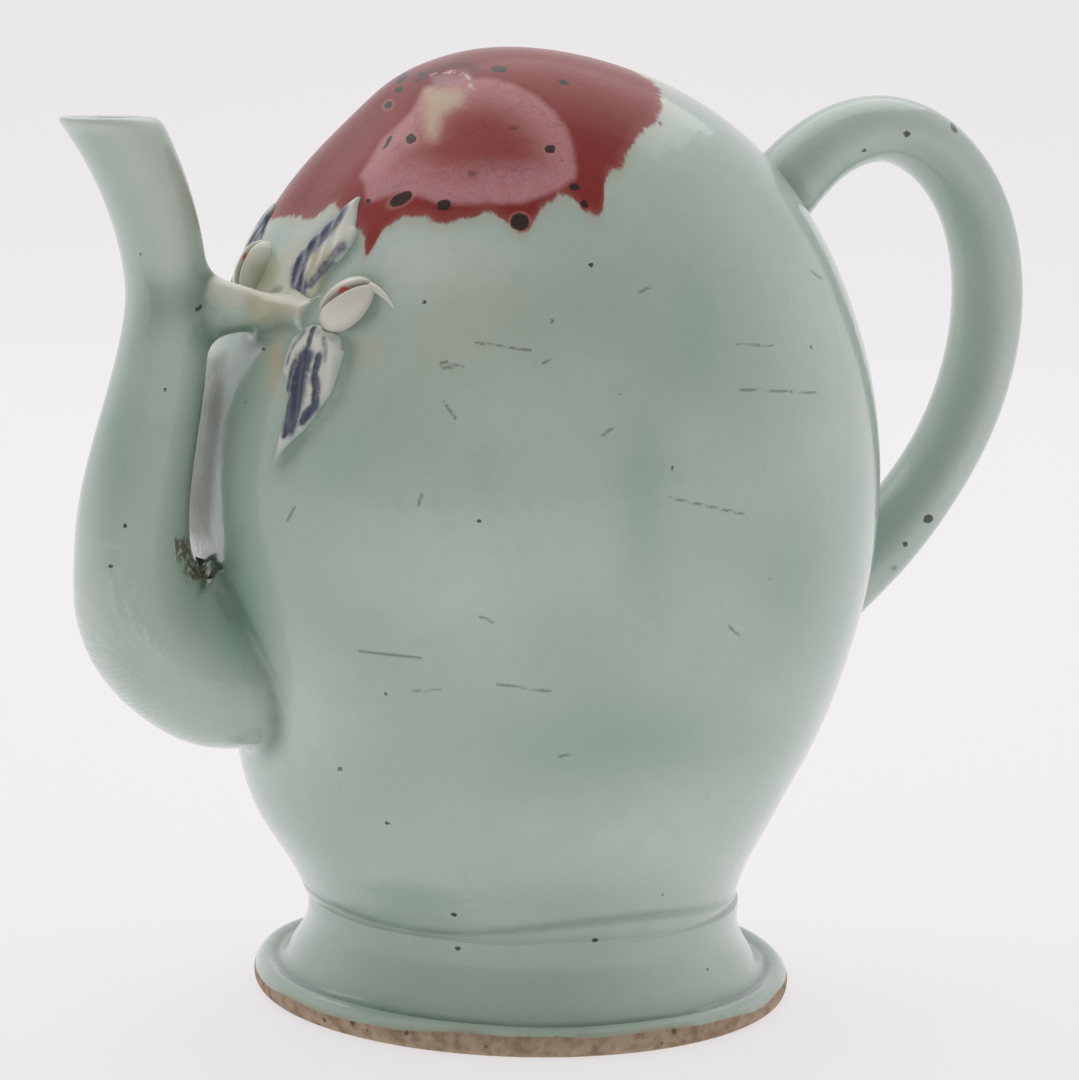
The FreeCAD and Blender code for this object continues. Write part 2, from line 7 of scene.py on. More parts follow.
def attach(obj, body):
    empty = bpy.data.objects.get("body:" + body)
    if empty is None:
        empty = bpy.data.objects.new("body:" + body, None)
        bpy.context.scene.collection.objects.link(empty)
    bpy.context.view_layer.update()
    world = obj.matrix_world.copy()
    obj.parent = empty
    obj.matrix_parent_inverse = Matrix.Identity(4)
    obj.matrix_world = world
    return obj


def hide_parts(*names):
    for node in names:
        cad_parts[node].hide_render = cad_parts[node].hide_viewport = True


# Looks of a cadogan teapot. Sizes here are millimetres in the frame of the solids, and meshes are
# written in metres. The glazed skin is one smooth surface, shared out among the pieces it covers.
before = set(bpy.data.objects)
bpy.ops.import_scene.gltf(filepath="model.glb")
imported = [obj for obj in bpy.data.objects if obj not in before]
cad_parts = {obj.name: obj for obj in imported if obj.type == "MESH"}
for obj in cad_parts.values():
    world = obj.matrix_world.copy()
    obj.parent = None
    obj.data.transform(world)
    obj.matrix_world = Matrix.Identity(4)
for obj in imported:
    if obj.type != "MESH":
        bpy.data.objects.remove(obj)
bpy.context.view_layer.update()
MM = 0.001


# Forms of the body, as the solids have them
BODY_TOP = 156.6
BELLY_RADIUS = 56.6
BELLY_HEIGHT = 86.0
FLATNESS = 0.95
CROWN_FULLNESS = 2.05
FLANK_EASE = 40.0
NECK_RADIUS = 35.9
NECK_HEIGHT = 16.2


def ease(low, high, value):
    share = np.clip((value - low) / (high - low), 0.0, 1.0)
    return share * share * (3.0 - 2.0 * share)


def bump(centre, spread, value):
    return np.exp(-(((value - centre) / spread) ** 2))


def crown_share(z):
    return np.clip((z - BELLY_HEIGHT) / (BODY_TOP - BELLY_HEIGHT), 0.0, None)


def radius_square(z):
    """Square of a section's half length over the belly's. It runs on below zero above the top."""
    crown = 1.0 - crown_share(z) ** CROWN_FULLNESS
    drop = np.clip(BELLY_HEIGHT - z, 0.0, None)
    neck_bend = math.sqrt(1.0 + ((BELLY_HEIGHT - NECK_HEIGHT) / FLANK_EASE) ** 2) - 1.0
    bend = np.sqrt(1.0 + (drop / FLANK_EASE) ** 2) - 1.0
    shrink = (1.0 - (NECK_RADIUS / BELLY_RADIUS) ** 2) * bend / neck_bend
    flank = np.sqrt(np.clip(1.0 - shrink, 0.05, None)) - 0.9 * bump(23.0, 6.0, z) / BELLY_RADIUS
    return np.where(z > BELLY_HEIGHT, crown, flank ** 2)


def section_centre(z):
    top_lean = 5.5 * np.clip(crown_share(z), 0.0, 1.0) ** 12
    return 1.3 * bump(BELLY_HEIGHT, 28.0, z) - top_lean - 2.2 * bump(31.0, 12.0, z)


def flatness(z):
    return 1.0 - (1.0 - FLATNESS) * ease(NECK_HEIGHT, BELLY_HEIGHT, z)


def cleft(x, y, z):
    """How far the face is drawn in on the spout side, less its swell and its tip."""
    middle = bump(0.0, 13.0, y)
    swell = 3.8 * bump(85.0, 20.0, z) * (1.0 - 0.5 * middle)
    tip = 2.6 * bump(153.0, 6.0, z)
    return (2.8 * ease(98.0, 124.0, z) * middle - swell - tip) * ease(0.0, 17.0, -x)


def body_point(z, angle, lift=0.0):
    """Points of the body's face. Angle 0 is at the handle, pi at the spout, -pi/2 at the front."""
    z = np.asarray(z, float)
    angle = np.asarray(angle, float)
    length = BELLY_RADIUS * np.sqrt(np.clip(radius_square(z), 0.0, None)) + lift
    x = length * np.cos(angle)
    y = length * flatness(z) * np.sin(angle)
    return np.stack([section_centre(z) + x + cleft(x, y, z), y, z + 0.0 * x], -1)


def body_field(p):
    """Distance outside the body, good near its face."""
    x = p[:, 0] - section_centre(p[:, 2])
    y = p[:, 1]
    z = p[:, 2]
    x = x - cleft(x, y, z)
    rho = np.hypot(x, y / flatness(z))
    level = (rho / BELLY_RADIUS) ** 2 - radius_square(z)
    slope = radius_square(z + 0.5) - radius_square(z - 0.5)
    return level / np.sqrt((2.0 * rho / BELLY_RADIUS ** 2) ** 2 + slope ** 2 + 1e-6)


# Tubes: the spout, the handle and the branch
def spline(points, count):
    """Points along a smooth curve through the given ones, and the knot share of each."""
    points = np.array(points, float)
    knots = np.concatenate([[0.0], np.cumsum(np.linalg.norm(np.diff(points, axis=0), axis=1))])
    span = np.diff(knots)
    last = len(points) - 1
    system = np.eye(last + 1)
    right = np.zeros((last + 1, 3))
    for i in range(1, last):
        system[i, i - 1:i + 2] = span[i - 1], 2.0 * (span[i - 1] + span[i]), span[i]
        right[i] = 6.0 * ((points[i + 1] - points[i]) / span[i] - (points[i] - points[i - 1]) / span[i - 1])
    bend = np.linalg.solve(system, right)
    at = np.linspace(0.0, knots[-1], count)
    i = np.clip(np.searchsorted(knots, at, side="right") - 1, 0, last - 1)
    a = ((knots[i + 1] - at) / span[i])[:, None]
    b = 1.0 - a
    curve = a * points[i] + b * points[i + 1]
    curve += ((a ** 3 - a) * bend[i] + (b ** 3 - b) * bend[i + 1]) * (span[i] ** 2)[:, None] / 6.0
    return curve, np.interp(at, knots, np.arange(last + 1))


class Tube:
    """Tube of oval sections along a path. Each section is (width, half thickness, egg)."""

    def __init__(self, points, sections, reference, count=240):
        self.centre, place = spline(points, count)
        self.along = np.gradient(self.centre, axis=0)
        self.step = np.linalg.norm(self.along, axis=1)
        self.along /= self.step[:, None]
        reference = np.array(reference, float)
        side = reference - self.along * (self.along @ reference)[:, None]
        self.side = side / np.linalg.norm(side, axis=1)[:, None]
        self.across = np.cross(self.along, self.side)
        knots = np.arange(len(sections))
        values = np.array(sections, float)
        rough = np.stack([np.interp(place, knots, values[:, k]) for k in range(3)], -1)
        kernel = np.hanning(21) / np.hanning(21).sum()
        padded = np.pad(rough, ((10, 10), (0, 0)), mode="edge")
        self.size = np.stack([np.convolve(padded[:, k], kernel, "valid") for k in range(3)], -1)
        reach = self.size[:, :2].max() * 1.6 + 4.0
        self.low = self.centre.min(0) - reach
        self.high = self.centre.max(0) + reach

    def local(self, p):
        """Share of the path, and the place across and to the side, of each point."""
        nearest = np.empty(len(p), int)
        square = (self.centre ** 2).sum(1)
        for start in range(0, len(p), 20000):
            block = p[start:start + 20000]
            nearest[start:start + 20000] = (square - 2.0 * block @ self.centre.T).argmin(1)
        offset = ((p - self.centre[nearest]) * self.along[nearest]).sum(1) / self.step[nearest]
        beyond = np.where((nearest == 0) | (nearest == len(self.centre) - 1), np.abs(offset), 0.0)
        beyond = beyond * self.step[nearest]
        place = np.clip(nearest + np.clip(offset, -0.5, 0.5), 0, len(self.centre) - 1.001)
        i = place.astype(int)
        f = (place - i)[:, None]

        def blend(values):
            return values[i] * (1.0 - f) + values[i + 1] * f

        gap = p - blend(self.centre)
        u = (gap * blend(self.across)).sum(1)
        v = (gap * blend(self.side)).sum(1)
        return place / (len(self.centre) - 1), u, v, blend(self.size), beyond

    def field(self, p, inset=0.0):
        far = np.full(len(p), 40.0)
        near = np.all((p > self.low) & (p < self.high), axis=1)
        if not near.any():
            return far
        share, u, v, size, beyond = self.local(p[near])
        width = size[:, 0] - inset
        half = size[:, 1] - inset
        turn = u / half / np.maximum(np.hypot(u / half, v / width), 1e-6)
        width = width * (1.0 + size[:, 2] * turn)
        k = np.hypot(u / half, v / width)
        gap = k * (k - 1.0) / np.maximum(np.hypot(u / half ** 2, v / width ** 2), 1e-3)
        far[near] = np.maximum(gap, beyond - 1.0)
        return far


def smooth_min(a, b, blend):
    lap = np.maximum(blend - np.abs(a - b), 0.0) / blend
    return np.minimum(a, b) - lap * lap * blend * 0.25


def smooth_max(a, b, blend):
    return -smooth_min(-a, -b, blend)


ACROSS = (0, 1, 0)
UP = (0, 0, 1)


def face_x(z):
    """X of the body's face on the handle side, without its lean."""
    return BELLY_RADIUS * math.sqrt(float(radius_square(np.array(float(z)))))


MOUTH_HEIGHT = 144.8
SPOUT_ROOT = 60.5
spout_points = [
    (-(face_x(SPOUT_ROOT) - 10.0), 0, SPOUT_ROOT),
    (-(face_x(SPOUT_ROOT) + 3.5), 0, SPOUT_ROOT + 0.4),
    (-65.6, 0, 65.2),
    (-69.3, 0, 75.0),
    (-68.4, 0, 90.0),
    (-64.4, 0, 117.0),
    (-74.35, 0, MOUTH_HEIGHT),
    (-78.55, 0, MOUTH_HEIGHT + 5.6),
]
spout_sections = [
    (12.0, 16.2, 0.5),
    (12.0, 16.2, 0.5),
    (11.0, 11.7, 0.35),
    (9.2, 9.3, 0.15),
    (8.2, 8.2, 0.0),
    (6.4, 6.4, 0.0),
    (7.0, 6.8, 0.0),
    (7.0, 6.8, 0.0),
]
spout = Tube(spout_points, spout_sections, ACROSS)


def root_point(z):
    return (float(section_centre(np.array(z))) + face_x(z) - 5.0, 0, z)


handle_points = [
    root_point(129.0),
    (51.4, 0, 140.2),
    (63.6, 0, 144.1),
    (77.2, 0, 137.5),
    (85.8, 0, 112.0),
    (75.3, 0, 83.3),
    root_point(57.6),
]
handle_sections = [(7.6, 5.6, 0.0)] * len(handle_points)
handle_sections[0] = handle_sections[-1] = (7.6, 6.6, 0.0)
handle = Tube(handle_points, handle_sections, ACROSS)

BRANCH_HEIGHT = 115.2
BRANCH_RUN = 18.1
branch_points = [(-64.4, 0, BRANCH_HEIGHT)]
branch_sections = [(6.4, 4.8, 0.0)]
for share, lift, half in ((0.5, 1.2, 2.4), (1.0, 0.0, 1.4)):
    angle = math.pi + BRANCH_RUN * share / face_x(BRANCH_HEIGHT)
    branch_points.append(tuple(body_point(BRANCH_HEIGHT, angle, lift)))
    branch_sections.append((half, half, 0.0))
branch = Tube(branch_points, branch_sections, UP, 120)


def wobble(p):
    """Slow unevenness of a hand-finished pot."""
    x, y, z = p.T
    waves = np.sin(x * 0.11 + z * 0.05 + 0.7) * np.sin(y * 0.13 - z * 0.07 + 1.9)
    waves += 0.6 * np.sin(x * 0.23 - y * 0.19 + 0.4) * np.sin(z * 0.17 + 2.2)
    return 0.10 * waves


def parts_of(p):
    cut_spout = smooth_max(spout.field(p), p[:, 2] - MOUTH_HEIGHT, 1.6)
    return body_field(p), cut_spout, handle.field(p), branch.field(p)


def skin_field(p):
    """Distance outside the glazed skin."""
    body, spout_gap, handle_gap, branch_gap = parts_of(p)
    skin = smooth_min(body, spout_gap, 3.0)
    skin = smooth_min(skin, handle_gap, 3.0)
    skin = smooth_min(skin, branch_gap, 3.5)
    skin = skin + wobble(p)
    near = (p[:, 2] > 96.0) & (p[:, 0] < -52.0)
    if near.any():
        channel = spout.field(p[near], 3.0)
        channel = smooth_max(channel, 100.0 - p[near][:, 2], 2.0)
        skin[near] = smooth_max(skin[near], -channel, 1.6)
    return skin


def gradient(p, step=0.05):
    slopes = []
    for axis in range(3):
        hop = np.zeros(3)
        hop[axis] = step
        slopes.append((skin_field(p + hop) - skin_field(p - hop)) / (2.0 * step))
    return np.stack(slopes, -1)


def settle(p, rounds=3):
    """Moves points onto the skin."""
    for turn in range(rounds):
        slope = gradient(p)
        p = p - slope * (skin_field(p) / np.maximum((slope ** 2).sum(1), 0.2))[:, None]
    return p


def surface_net(low, high, step):
    """Quads of the skin in a box of cells."""
    counts = np.ceil((high - low) / step).astype(int) + 1
    axes = [low[k] + step * np.arange(counts[k]) for k in range(3)]
    grid = np.stack(np.meshgrid(*axes, indexing="ij"), -1).reshape(-1, 3)
    values = np.empty(len(grid))
    for start in range(0, len(grid), 200000):
        values[start:start + 200000] = skin_field(grid[start:start + 200000])
    values = values.reshape(counts)
    inside = values < 0
    corners = [(i, j, k) for i in (0, 1) for j in (0, 1) for k in (0, 1)]
    cells = counts - 1

    def corner(array, c):
        return array[c[0]:c[0] + cells[0], c[1]:c[1] + cells[1], c[2]:c[2] + cells[2]]

    total = sum(corner(inside, c).astype(int) for c in corners)
    active = (total > 0) & (total < 8)
    where = np.argwhere(active)
    index = np.full(cells, -1)
    index[active] = np.arange(len(where))
    at = [corner(values, c)[active] for c in corners]
    place = np.zeros((len(where), 3))
    weight = np.zeros(len(where))
    for a, first in enumerate(corners):
        for b, second in enumerate(corners):
            if a >= b or sum(abs(first[k] - second[k]) for k in range(3)) != 1:
                continue
            crossed = (at[a] < 0) != (at[b] < 0)
            share = np.where(crossed, at[a] / np.where(crossed, at[a] - at[b], 1.0), 0.0)
            spot = np.array(first) + share[:, None] * (np.array(second) - np.array(first))
            place += spot * crossed[:, None]
            weight += crossed
    vertices = low + step * (where + place / weight[:, None])
    quads = []
    for axis in range(3):
        b, c = [k for k in range(3) if k != axis]
        if axis == 1:
            b, c = c, b
        ahead = np.roll(inside, -1, axis)
        trimmed = [slice(1, -1)] * 3
        trimmed[axis] = slice(0, -1)
        changed = (inside != ahead)[tuple(trimmed)]
        spots = np.argwhere(changed) + 1
        spots[:, axis] -= 1
        solid = inside[tuple(spots.T)]
        ring = []
        for step_b, step_c in ((0, 0), (1, 0), (1, 1), (0, 1)):
            cell = spots.copy()
            cell[:, b] -= step_b
            cell[:, c] -= step_c
            ring.append(index[tuple(cell.T)])
        ring = np.stack(ring, -1)
        ring[~solid] = ring[~solid][:, ::-1]
        quads.append(ring)
    return vertices, np.concatenate(quads)


def divide(vertices, quads):
    """Splits each quad into four."""
    sides = np.concatenate([quads[:, [k, (k + 1) % 4]] for k in range(4)])
    unique, inverse = np.unique(np.sort(sides, axis=1), axis=0, return_inverse=True)
    middle = vertices[unique].mean(1)
    centre = vertices[quads].mean(1)
    first_middle = len(vertices)
    first_centre = first_middle + len(unique)
    inverse = inverse.reshape(4, -1).T + first_middle
    hub = np.arange(len(quads)) + first_centre
    fresh = [np.stack([quads[:, k], inverse[:, k], hub, inverse[:, k - 1]], -1) for k in range(4)]
    return np.concatenate([vertices, middle, centre]), np.concatenate(fresh)


def build_mesh(name, vertices, faces, normals=None, **attributes):
    """Mesh object from arrays in millimetres, with a normal and named values at each vertex."""
    mesh = bpy.data.meshes.new(name)
    mesh.vertices.add(len(vertices))
    mesh.vertices.foreach_set("co", (np.asarray(vertices) * MM).astype(np.float32).ravel())
    faces = np.asarray(faces)
    mesh.loops.add(faces.size)
    mesh.loops.foreach_set("vertex_index", faces.astype(np.int32).ravel())
    mesh.polygons.add(len(faces))
    mesh.polygons.foreach_set("loop_start", np.arange(0, faces.size, faces.shape[1], dtype=np.int32))
    mesh.update(calc_edges=True)
    mesh.validate()
    mesh.polygons.foreach_set("use_smooth", np.ones(len(mesh.polygons), bool))
    for key, values in attributes.items():
        values = np.asarray(values, np.float32)
        kind = ("FLOAT", "value") if values.ndim == 1 else ("FLOAT_VECTOR", "vector")
        layer = mesh.attributes.new(key, kind[0], "POINT")
        layer.data.foreach_set(kind[1], values.ravel())
    if normals is not None:
        mesh.normals_split_custom_set_from_vertices([tuple(n) for n in normals])
    made = bpy.data.objects.new(name, mesh)
    bpy.context.scene.collection.objects.link(made)
    return made


# The skin, shared out
SKIN_STEP = 1.25
skin_low = np.array([-90.0, -58.0, 15.6])
skin_high = np.array([98.0, 58.0, 158.5])


def unit(vectors):
    return vectors / np.maximum(np.linalg.norm(vectors, axis=1), 1e-6)[:, None]


def turn_of(p):
    """Degrees around the body from the spout's side, more than nothing towards the front."""
    return np.degrees(np.arctan2(-p[:, 1], section_centre(p[:, 2]) - p[:, 0]))


# The side seen from the front left, as a sheet that the decorator's marks are laid out on
AZIMUTH = math.radians(25.0)
PITCH = math.radians(8.7975)
ROLL = math.radians(1.63)
TARGET = np.array([math.cos(AZIMUTH), -math.sin(AZIMUTH), 0.0]) * 1.0822 + np.array([0.0, 0.0, 75.68])
view_back = np.array([
    -math.sin(AZIMUTH) * math.cos(PITCH),
    -math.cos(AZIMUTH) * math.cos(PITCH),
    math.sin(PITCH),
])
level_right = np.array([math.cos(AZIMUTH), -math.sin(AZIMUTH), 0.0])
level_up = np.cross(view_back, level_right)
sheet_right = level_right * math.cos(ROLL) + level_up * math.sin(ROLL)
sheet_up = level_up * math.cos(ROLL) - level_right * math.sin(ROLL)


def on_sheet(p):
    return np.stack([(p - TARGET) @ sheet_right, (p - TARGET) @ sheet_up], -1)


def depth_inside(places, outline):
    """Distance of places inside a closed outline, less than nothing outside it."""
    outline = np.array(outline, float)
    gap = np.full(len(places), 1e9)
    inside = np.zeros(len(places), bool)
    for start, end in zip(outline, np.roll(outline, -1, axis=0)):
        gap = np.minimum(gap, segment_gap(places, start, end))
        crosses = (start[1] > places[:, 1]) != (end[1] > places[:, 1])
        rise = end[1] - start[1]
        where = start[0] + (end[0] - start[0]) * (places[:, 1] - start[1]) / (rise if rise else 1.0)
        inside ^= crosses & (places[:, 0] < where)
    return np.where(inside, gap, -gap)


def segment_gap(places, start, end):
    start = np.asarray(start, float)
    run = np.asarray(end, float) - start
    share = np.clip(((places - start) @ run) / max(run @ run, 1e-9), 0.0, 1.0)
    return np.linalg.norm(places - start - share[:, None] * run, axis=1)


def path_gap(places, path):
    """Distance of places from an open path."""
    gaps = [segment_gap(places, start, end) for start, end in zip(path[:-1], path[1:])]
    return np.min(gaps, axis=0)


# Edge of the red cap: degrees around the body and height
CAP_EDGE = [
    (-180, 153.5), (-160, 152.5), (-140, 150.0), (-120, 146.0), (-105, 142.5), (-90, 138.0), (-80, 133.0),
    (-74, 136.0), (-62, 131.0), (-50, 129.0), (-42, 131.5), (-30, 126.0), (-20, 127.3), (-11, 128.6),
    (-4, 129.0), (4, 129.0), (8, 129.4), (12.5, 131.7), (18, 130.5), (23, 129.2), (28, 127.6),
    (30.2, 124.9), (31.5, 127.5), (33.3, 129.6), (36.4, 130.8), (43, 130.5), (49.5, 131.3), (56, 131.6),
    (58.8, 129.8), (61.1, 129.2), (63, 130.6), (64.5, 132.6), (66.1, 133.3), (69.2, 134.9), (71.8, 134.7),
    (73.5, 133.0), (78, 132.7), (79.2, 135.5), (80.5, 138.1), (83.4, 138.8), (86.7, 140.5), (93, 143.3),
    (102.4, 145.6), (108.7, 146.9), (118, 149.0), (123.5, 149.9), (137.5, 152.0), (144, 153.2),
    (180, 153.5),
]

# Outlines on the sheet
# Outline of the pink lobe on the cap: partly the red glaze gone pink where thin, partly a painted reflection
PINK_AND_REFLECTION_LOBE = [
    (-12.5, 72.6), (-7.2, 72.6), (-3.8, 71.4), (-0.2, 69.1), (2.3, 66.8), (4.1, 64.0), (5.2, 60.8),
    (5.9, 57.0), (5.7, 55.2), (3.1, 53.1), (-3.0, 51.0), (-9.1, 51.0), (-15.2, 51.2), (-21.5, 53.4),
    (-26.5, 52.0), (-28.0, 57.0), (-25.0, 63.0), (-20.3, 67.5), (-18.5, 71.5),
]
BURNT_SPOT = [
    (-18.0, 71.2), (-11.4, 70.4), (-12.0, 67.5), (-15.0, 66.0), (-16.0, 61.5), (-17.5, 62.5),
    (-18.1, 66.0),
]
LILAC_PATCH = [(-17.2, 73.6), (-11.4, 73.1), (-12.2, 71.2), (-16.7, 71.8)]
# Path of painted shade along the tip's fold
TIP_FOLD_SHADE = [(-19.2, 73.2), (-17.6, 74.6), (-15.2, 75.4), (-12.4, 75.6), (-10.2, 74.4)]
# Path of painted highlights on the fold's edge
TIP_GLINT_PATH = [(-17.2, 73.6), (-15.0, 74.2), (-13.2, 73.8), (-11.4, 73.3), (-10.9, 71.6), (-10.3, 69.4)]
# Outline of painted shade in the cleft near the branch's end, a yellowish tint
CLEFT_SHADE_FIELD = [(-46.0, 44.0), (-38.0, 47.0), (-31.0, 44.5), (-33.5, 38.0), (-38.5, 33.5), (-46.0, 34.5)]
# Outline of painted shade on the body where the spout stands close beside it and shades it
SPOUT_SHADE_STRIP = [
    (-62.0, 30.5), (-50.0, 30.0), (-49.5, 22.0), (-50.5, 14.2), (-51.3, 6.3), (-52.0, 0.0), (-62.0, 0.0),
]
RUST_PATCH = [(-58.0, 0.3), (-54.6, 0.3), (-53.8, -3.0), (-52.0, -6.5), (-55.0, -6.5)]
LENS_FOLD = [(-37.5, -53.2), (-31.5, -56.6), (-22.0, -58.6), (-13.5, -58.6), (-11.0, -56.6), (-24.0, -54.6)]

# Places on the sheet where the glaze ran thick or thin, the pale ones partly painted light: (across, up, half
# width, half height, strength)
GREEN_AREAS = [
    (16.0, 6.0, 4.5, 15.0, 0.5), (15.0, -31.0, 20.0, 5.5, 0.45), (-47.0, -14.0, 4.5, 14.0, 0.75),
    (24.0, 33.0, 3.5, 8.0, 0.3), (-30.0, 12.0, 9.0, 9.0, 0.25), (48.0, 62.0, 6.0, 4.0, 0.3),
    (40.0, -8.0, 5.0, 16.0, 0.3), (-34.0, -52.0, 5.0, 5.0, 0.35), (-66.0, 22.0, 3.0, 16.0, 0.4),
]
# Pale places: partly the glaze's own paler patches, partly painted highlights under the cap, on the body's
# left and the spout's left, and the lower body painted lighter where the floor lights it
PALE_AND_LIT_AREAS = [
    (-16.0, 42.0, 16.0, 6.0, 0.8), (-40.0, -28.0, 9.0, 9.0, 0.5), (8.0, -46.0, 22.0, 7.0, 0.45),
    (-10.0, -6.0, 14.0, 9.0, 0.35), (0.0, 20.0, 12.0, 8.0, 0.25), (-68.0, -14.0, 5.0, 12.0, 0.35),
    (-33.0, 25.0, 5.0, 9.0, 0.5),
]
WARM_AREAS = [(-40.5, 27.0, 1.6, 5.5, 0.9), (-26.5, 27.5, 3.0, 3.0, 0.6), (-12.0, 34.0, 12.0, 10.0, 0.25)]

# Iron spots on the sheet: (across, up, half width, half height, lean in degrees)
IRON_SPOTS = [
    (-6.4, 74.2, 1.4, 0.7, 0), (3.8, 71.9, 0.95, 0.5, -20), (-22.1, 74.6, 0.8, 1.4, -30),
    (-18.9, 74.4, 0.6, 0.6, 0), (-22.4, 72.0, 0.85, 0.6, 0), (-23.6, 62.5, 0.35, 1.6, -25),
    (-14.6, 51.2, 1.2, 0.9, 20), (-26.5, 52.4, 0.5, 0.4, 0), (5.3, 53.9, 0.85, 0.6, 0),
    (6.8, 51.2, 0.65, 0.65, 0), (18.9, 65.3, 0.4, 0.4, 0), (61.9, 68.4, 0.7, 0.6, 0),
    (54.4, 65.4, 0.5, 0.4, 0), (70.5, 70.1, 0.6, 1.15, 15), (66.9, 3.6, 1.0, 0.8, 20),
    (62.8, -0.7, 0.6, 0.5, 0), (7.8, 41.6, 0.5, 0.4, 0), (1.7, 33.0, 0.45, 0.35, 0),
    (22.9, 28.6, 0.4, 0.35, 0), (-9.1, 2.9, 0.4, 0.35, 0), (20.1, 10.8, 0.4, 0.4, 0),
    (-31.2, -35.8, 0.5, 0.4, 0), (-23.8, -44.1, 0.5, 0.4, 0), (-17.5, 36.0, 0.4, 0.35, 0),
    (-43.0, 29.7, 0.4, 0.4, 0), (-58.2, 23.3, 0.4, 0.4, 0), (-64.2, 2.3, 0.4, 0.4, 0),
    (-66.5, -4.0, 0.45, 0.4, 0), (-13.5, -59.2, 0.5, 0.4, 0), (8.8, -63.6, 0.5, 0.4, 0),
    (-13.0, -64.9, 0.5, 0.4, 0), (-53.0, 36.0, 0.9, 0.35, 50),
]
HALO_SPOTS = [
    (-24.1, 69.4, 0.75, 0.8, 0), (-20.0, 62.4, 0.85, 0.95, 0), (1.6, 60.1, 0.9, 0.75, 0),
    (-21.3, 52.4, 2.0, 1.0, 28), (-3.0, 48.3, 1.5, 1.4, 0),
]
FAINT_SPOTS = [
    (-3.8, 63.6, 0.75, 0.5, 0), (-10.2, 56.1, 0.9, 0.5, 0), (60.9, -4.8, 0.7, 0.5, 0),
    (-45.8, 21.4, 0.4, 0.4, 0),
]

# Scratches on the sheet: (across, up, half length, lean in degrees)
SCRATCHES = [
    (-14.1, 26.8, 0.9, 10), (-12.1, 26.2, 0.8, -10), (-14.1, 25.8, 0.8, 5), (-13.5, 19.5, 1.6, -55),
    (-5.5, 29.1, 4.2, -8), (1.1, 26.8, 0.7, 20), (25.5, 5.2, 6.0, -12), (-22.8, -17.5, 4.8, -6),
    (-2.3, -22.5, 4.2, -8), (-17.2, -23.0, 2.0, 2), (33.0, 30.0, 3.0, 2), (37.0, 23.0, 6.2, 0),
    (10.2, 16.3, 0.9, 35), (-38.0, 4.0, 1.2, 60), (30.0, -14.0, 1.2, -40), (4.0, -33.0, 1.0, 15),
    (-18.0, 6.0, 0.9, 70), (-8.0, -12.0, 1.1, -25), (16.0, 38.0, 1.0, 30), (44.0, 42.0, 1.1, -30),
]

# Where the foot's glaze laps over the body: degrees around it and height
COLLAR_EDGE = [
    (-180, 18.5), (-120, 19.5), (-60, 18.0), (0, 18.5), (16, 17.8), (34, 17.2), (47, 17.5), (74, 19.9),
    (95, 20.7), (128, 19.0), (180, 18.5),
]


def smooth_through(knots, values, at):
    """Values at places between knots, along a smooth curve."""
    points = [(knot, value, 0.0) for knot, value in zip(knots, values)]
    curve = spline(points, 400)[0]
    return np.interp(at, curve[:, 0], curve[:, 1])


# Each leaf: (height, left run, right run) from its foot to its tip. Its strokes: (path, width, strength)
UPPER_LEAF = [
    (117.4, 18.9, 19.5), (118.6, 13.4, 20.0), (120.5, 8.8, 19.5), (122.3, 7.6, 19.9), (124.4, 8.6, 21.6),
    (126.5, 10.6, 22.1), (128.7, 12.8, 20.9), (130.6, 14.3, 19.2), (132.4, 15.4, 17.6), (133.4, 16.5, 16.9),
]
UPPER_STROKES = [
    (
        [
            (15.2, 129.7), (14.7, 127.4), (13.4, 126.0), (12.4, 124.1), (11.8, 122.6), (13.0, 120.3),
            (15.6, 118.2),
        ],
        2.3,
        1.0,
    ),
    ([(20.6, 125.6), (18.6, 121.8), (17.4, 119.3)], 1.1, 0.7),
]
LOWER_LEAF = [
    (114.2, 21.9, 23.2), (113.2, 20.0, 26.2), (112.2, 18.8, 28.8), (110.8, 17.9, 29.8), (108.2, 18.3, 30.4),
    (105.8, 19.9, 30.5), (103.7, 21.3, 30.2), (101.4, 22.1, 29.2), (98.5, 22.3, 27.5), (96.0, 22.1, 25.0),
    (92.8, 22.0, 22.5),
]
LOWER_STROKES = [
    ([(22.6, 113.4), (23.3, 110.7), (23.7, 108.3)], 0.6, 0.8),
    ([(23.3, 108.8), (23.6, 106.0), (24.2, 103.4), (24.6, 101.0), (24.6, 98.9)], 1.9, 1.0),
    ([(24.3, 97.9), (24.0, 97.3)], 0.7, 0.9),
    ([(20.9, 112.6), (19.7, 109.8), (19.7, 107.9)], 0.6, 0.6),
    ([(21.7, 108.0), (21.6, 105.6), (21.9, 103.2)], 0.7, 0.85),
    ([(25.7, 112.2), (26.9, 110.6), (27.6, 108.9)], 0.5, 0.55),
    ([(26.1, 109.2), (26.6, 106.5), (27.8, 104.7), (28.4, 102.2), (27.0, 99.8)], 0.9, 0.95),
    ([(23.0, 113.2), (25.6, 113.0), (27.6, 112.4)], 0.9, 0.4),
]


def leaf_outline(stations):
    """Closed outline of a leaf in runs around the body and heights."""
    lefts = [(left, height) for height, left, right in stations]
    rights = [(right, height) for height, left, right in stations]
    return lefts + rights[::-1]


BUD_RUN = 26.9
BUD_HEIGHT = 117.5
BUD_OUTLINE = [
    (BUD_RUN + 4.6 * math.cos(angle), BUD_HEIGHT + 3.6 * math.sin(angle))
    for angle in np.linspace(0.0, 6.0, 14)
]
RELIEF_OUTLINES = [leaf_outline(UPPER_LEAF), leaf_outline(LOWER_LEAF), BUD_OUTLINE]


FAR = 9.0


def areas(sheet, listed):
    """Soft oval patches on the sheet."""
    total = np.zeros(len(sheet))
    for across, up, half_width, half_height, strength in listed:
        away = ((sheet[:, 0] - across) / half_width) ** 2 + ((sheet[:, 1] - up) / half_height) ** 2
        total = np.maximum(total, strength * np.exp(-away))
    return total


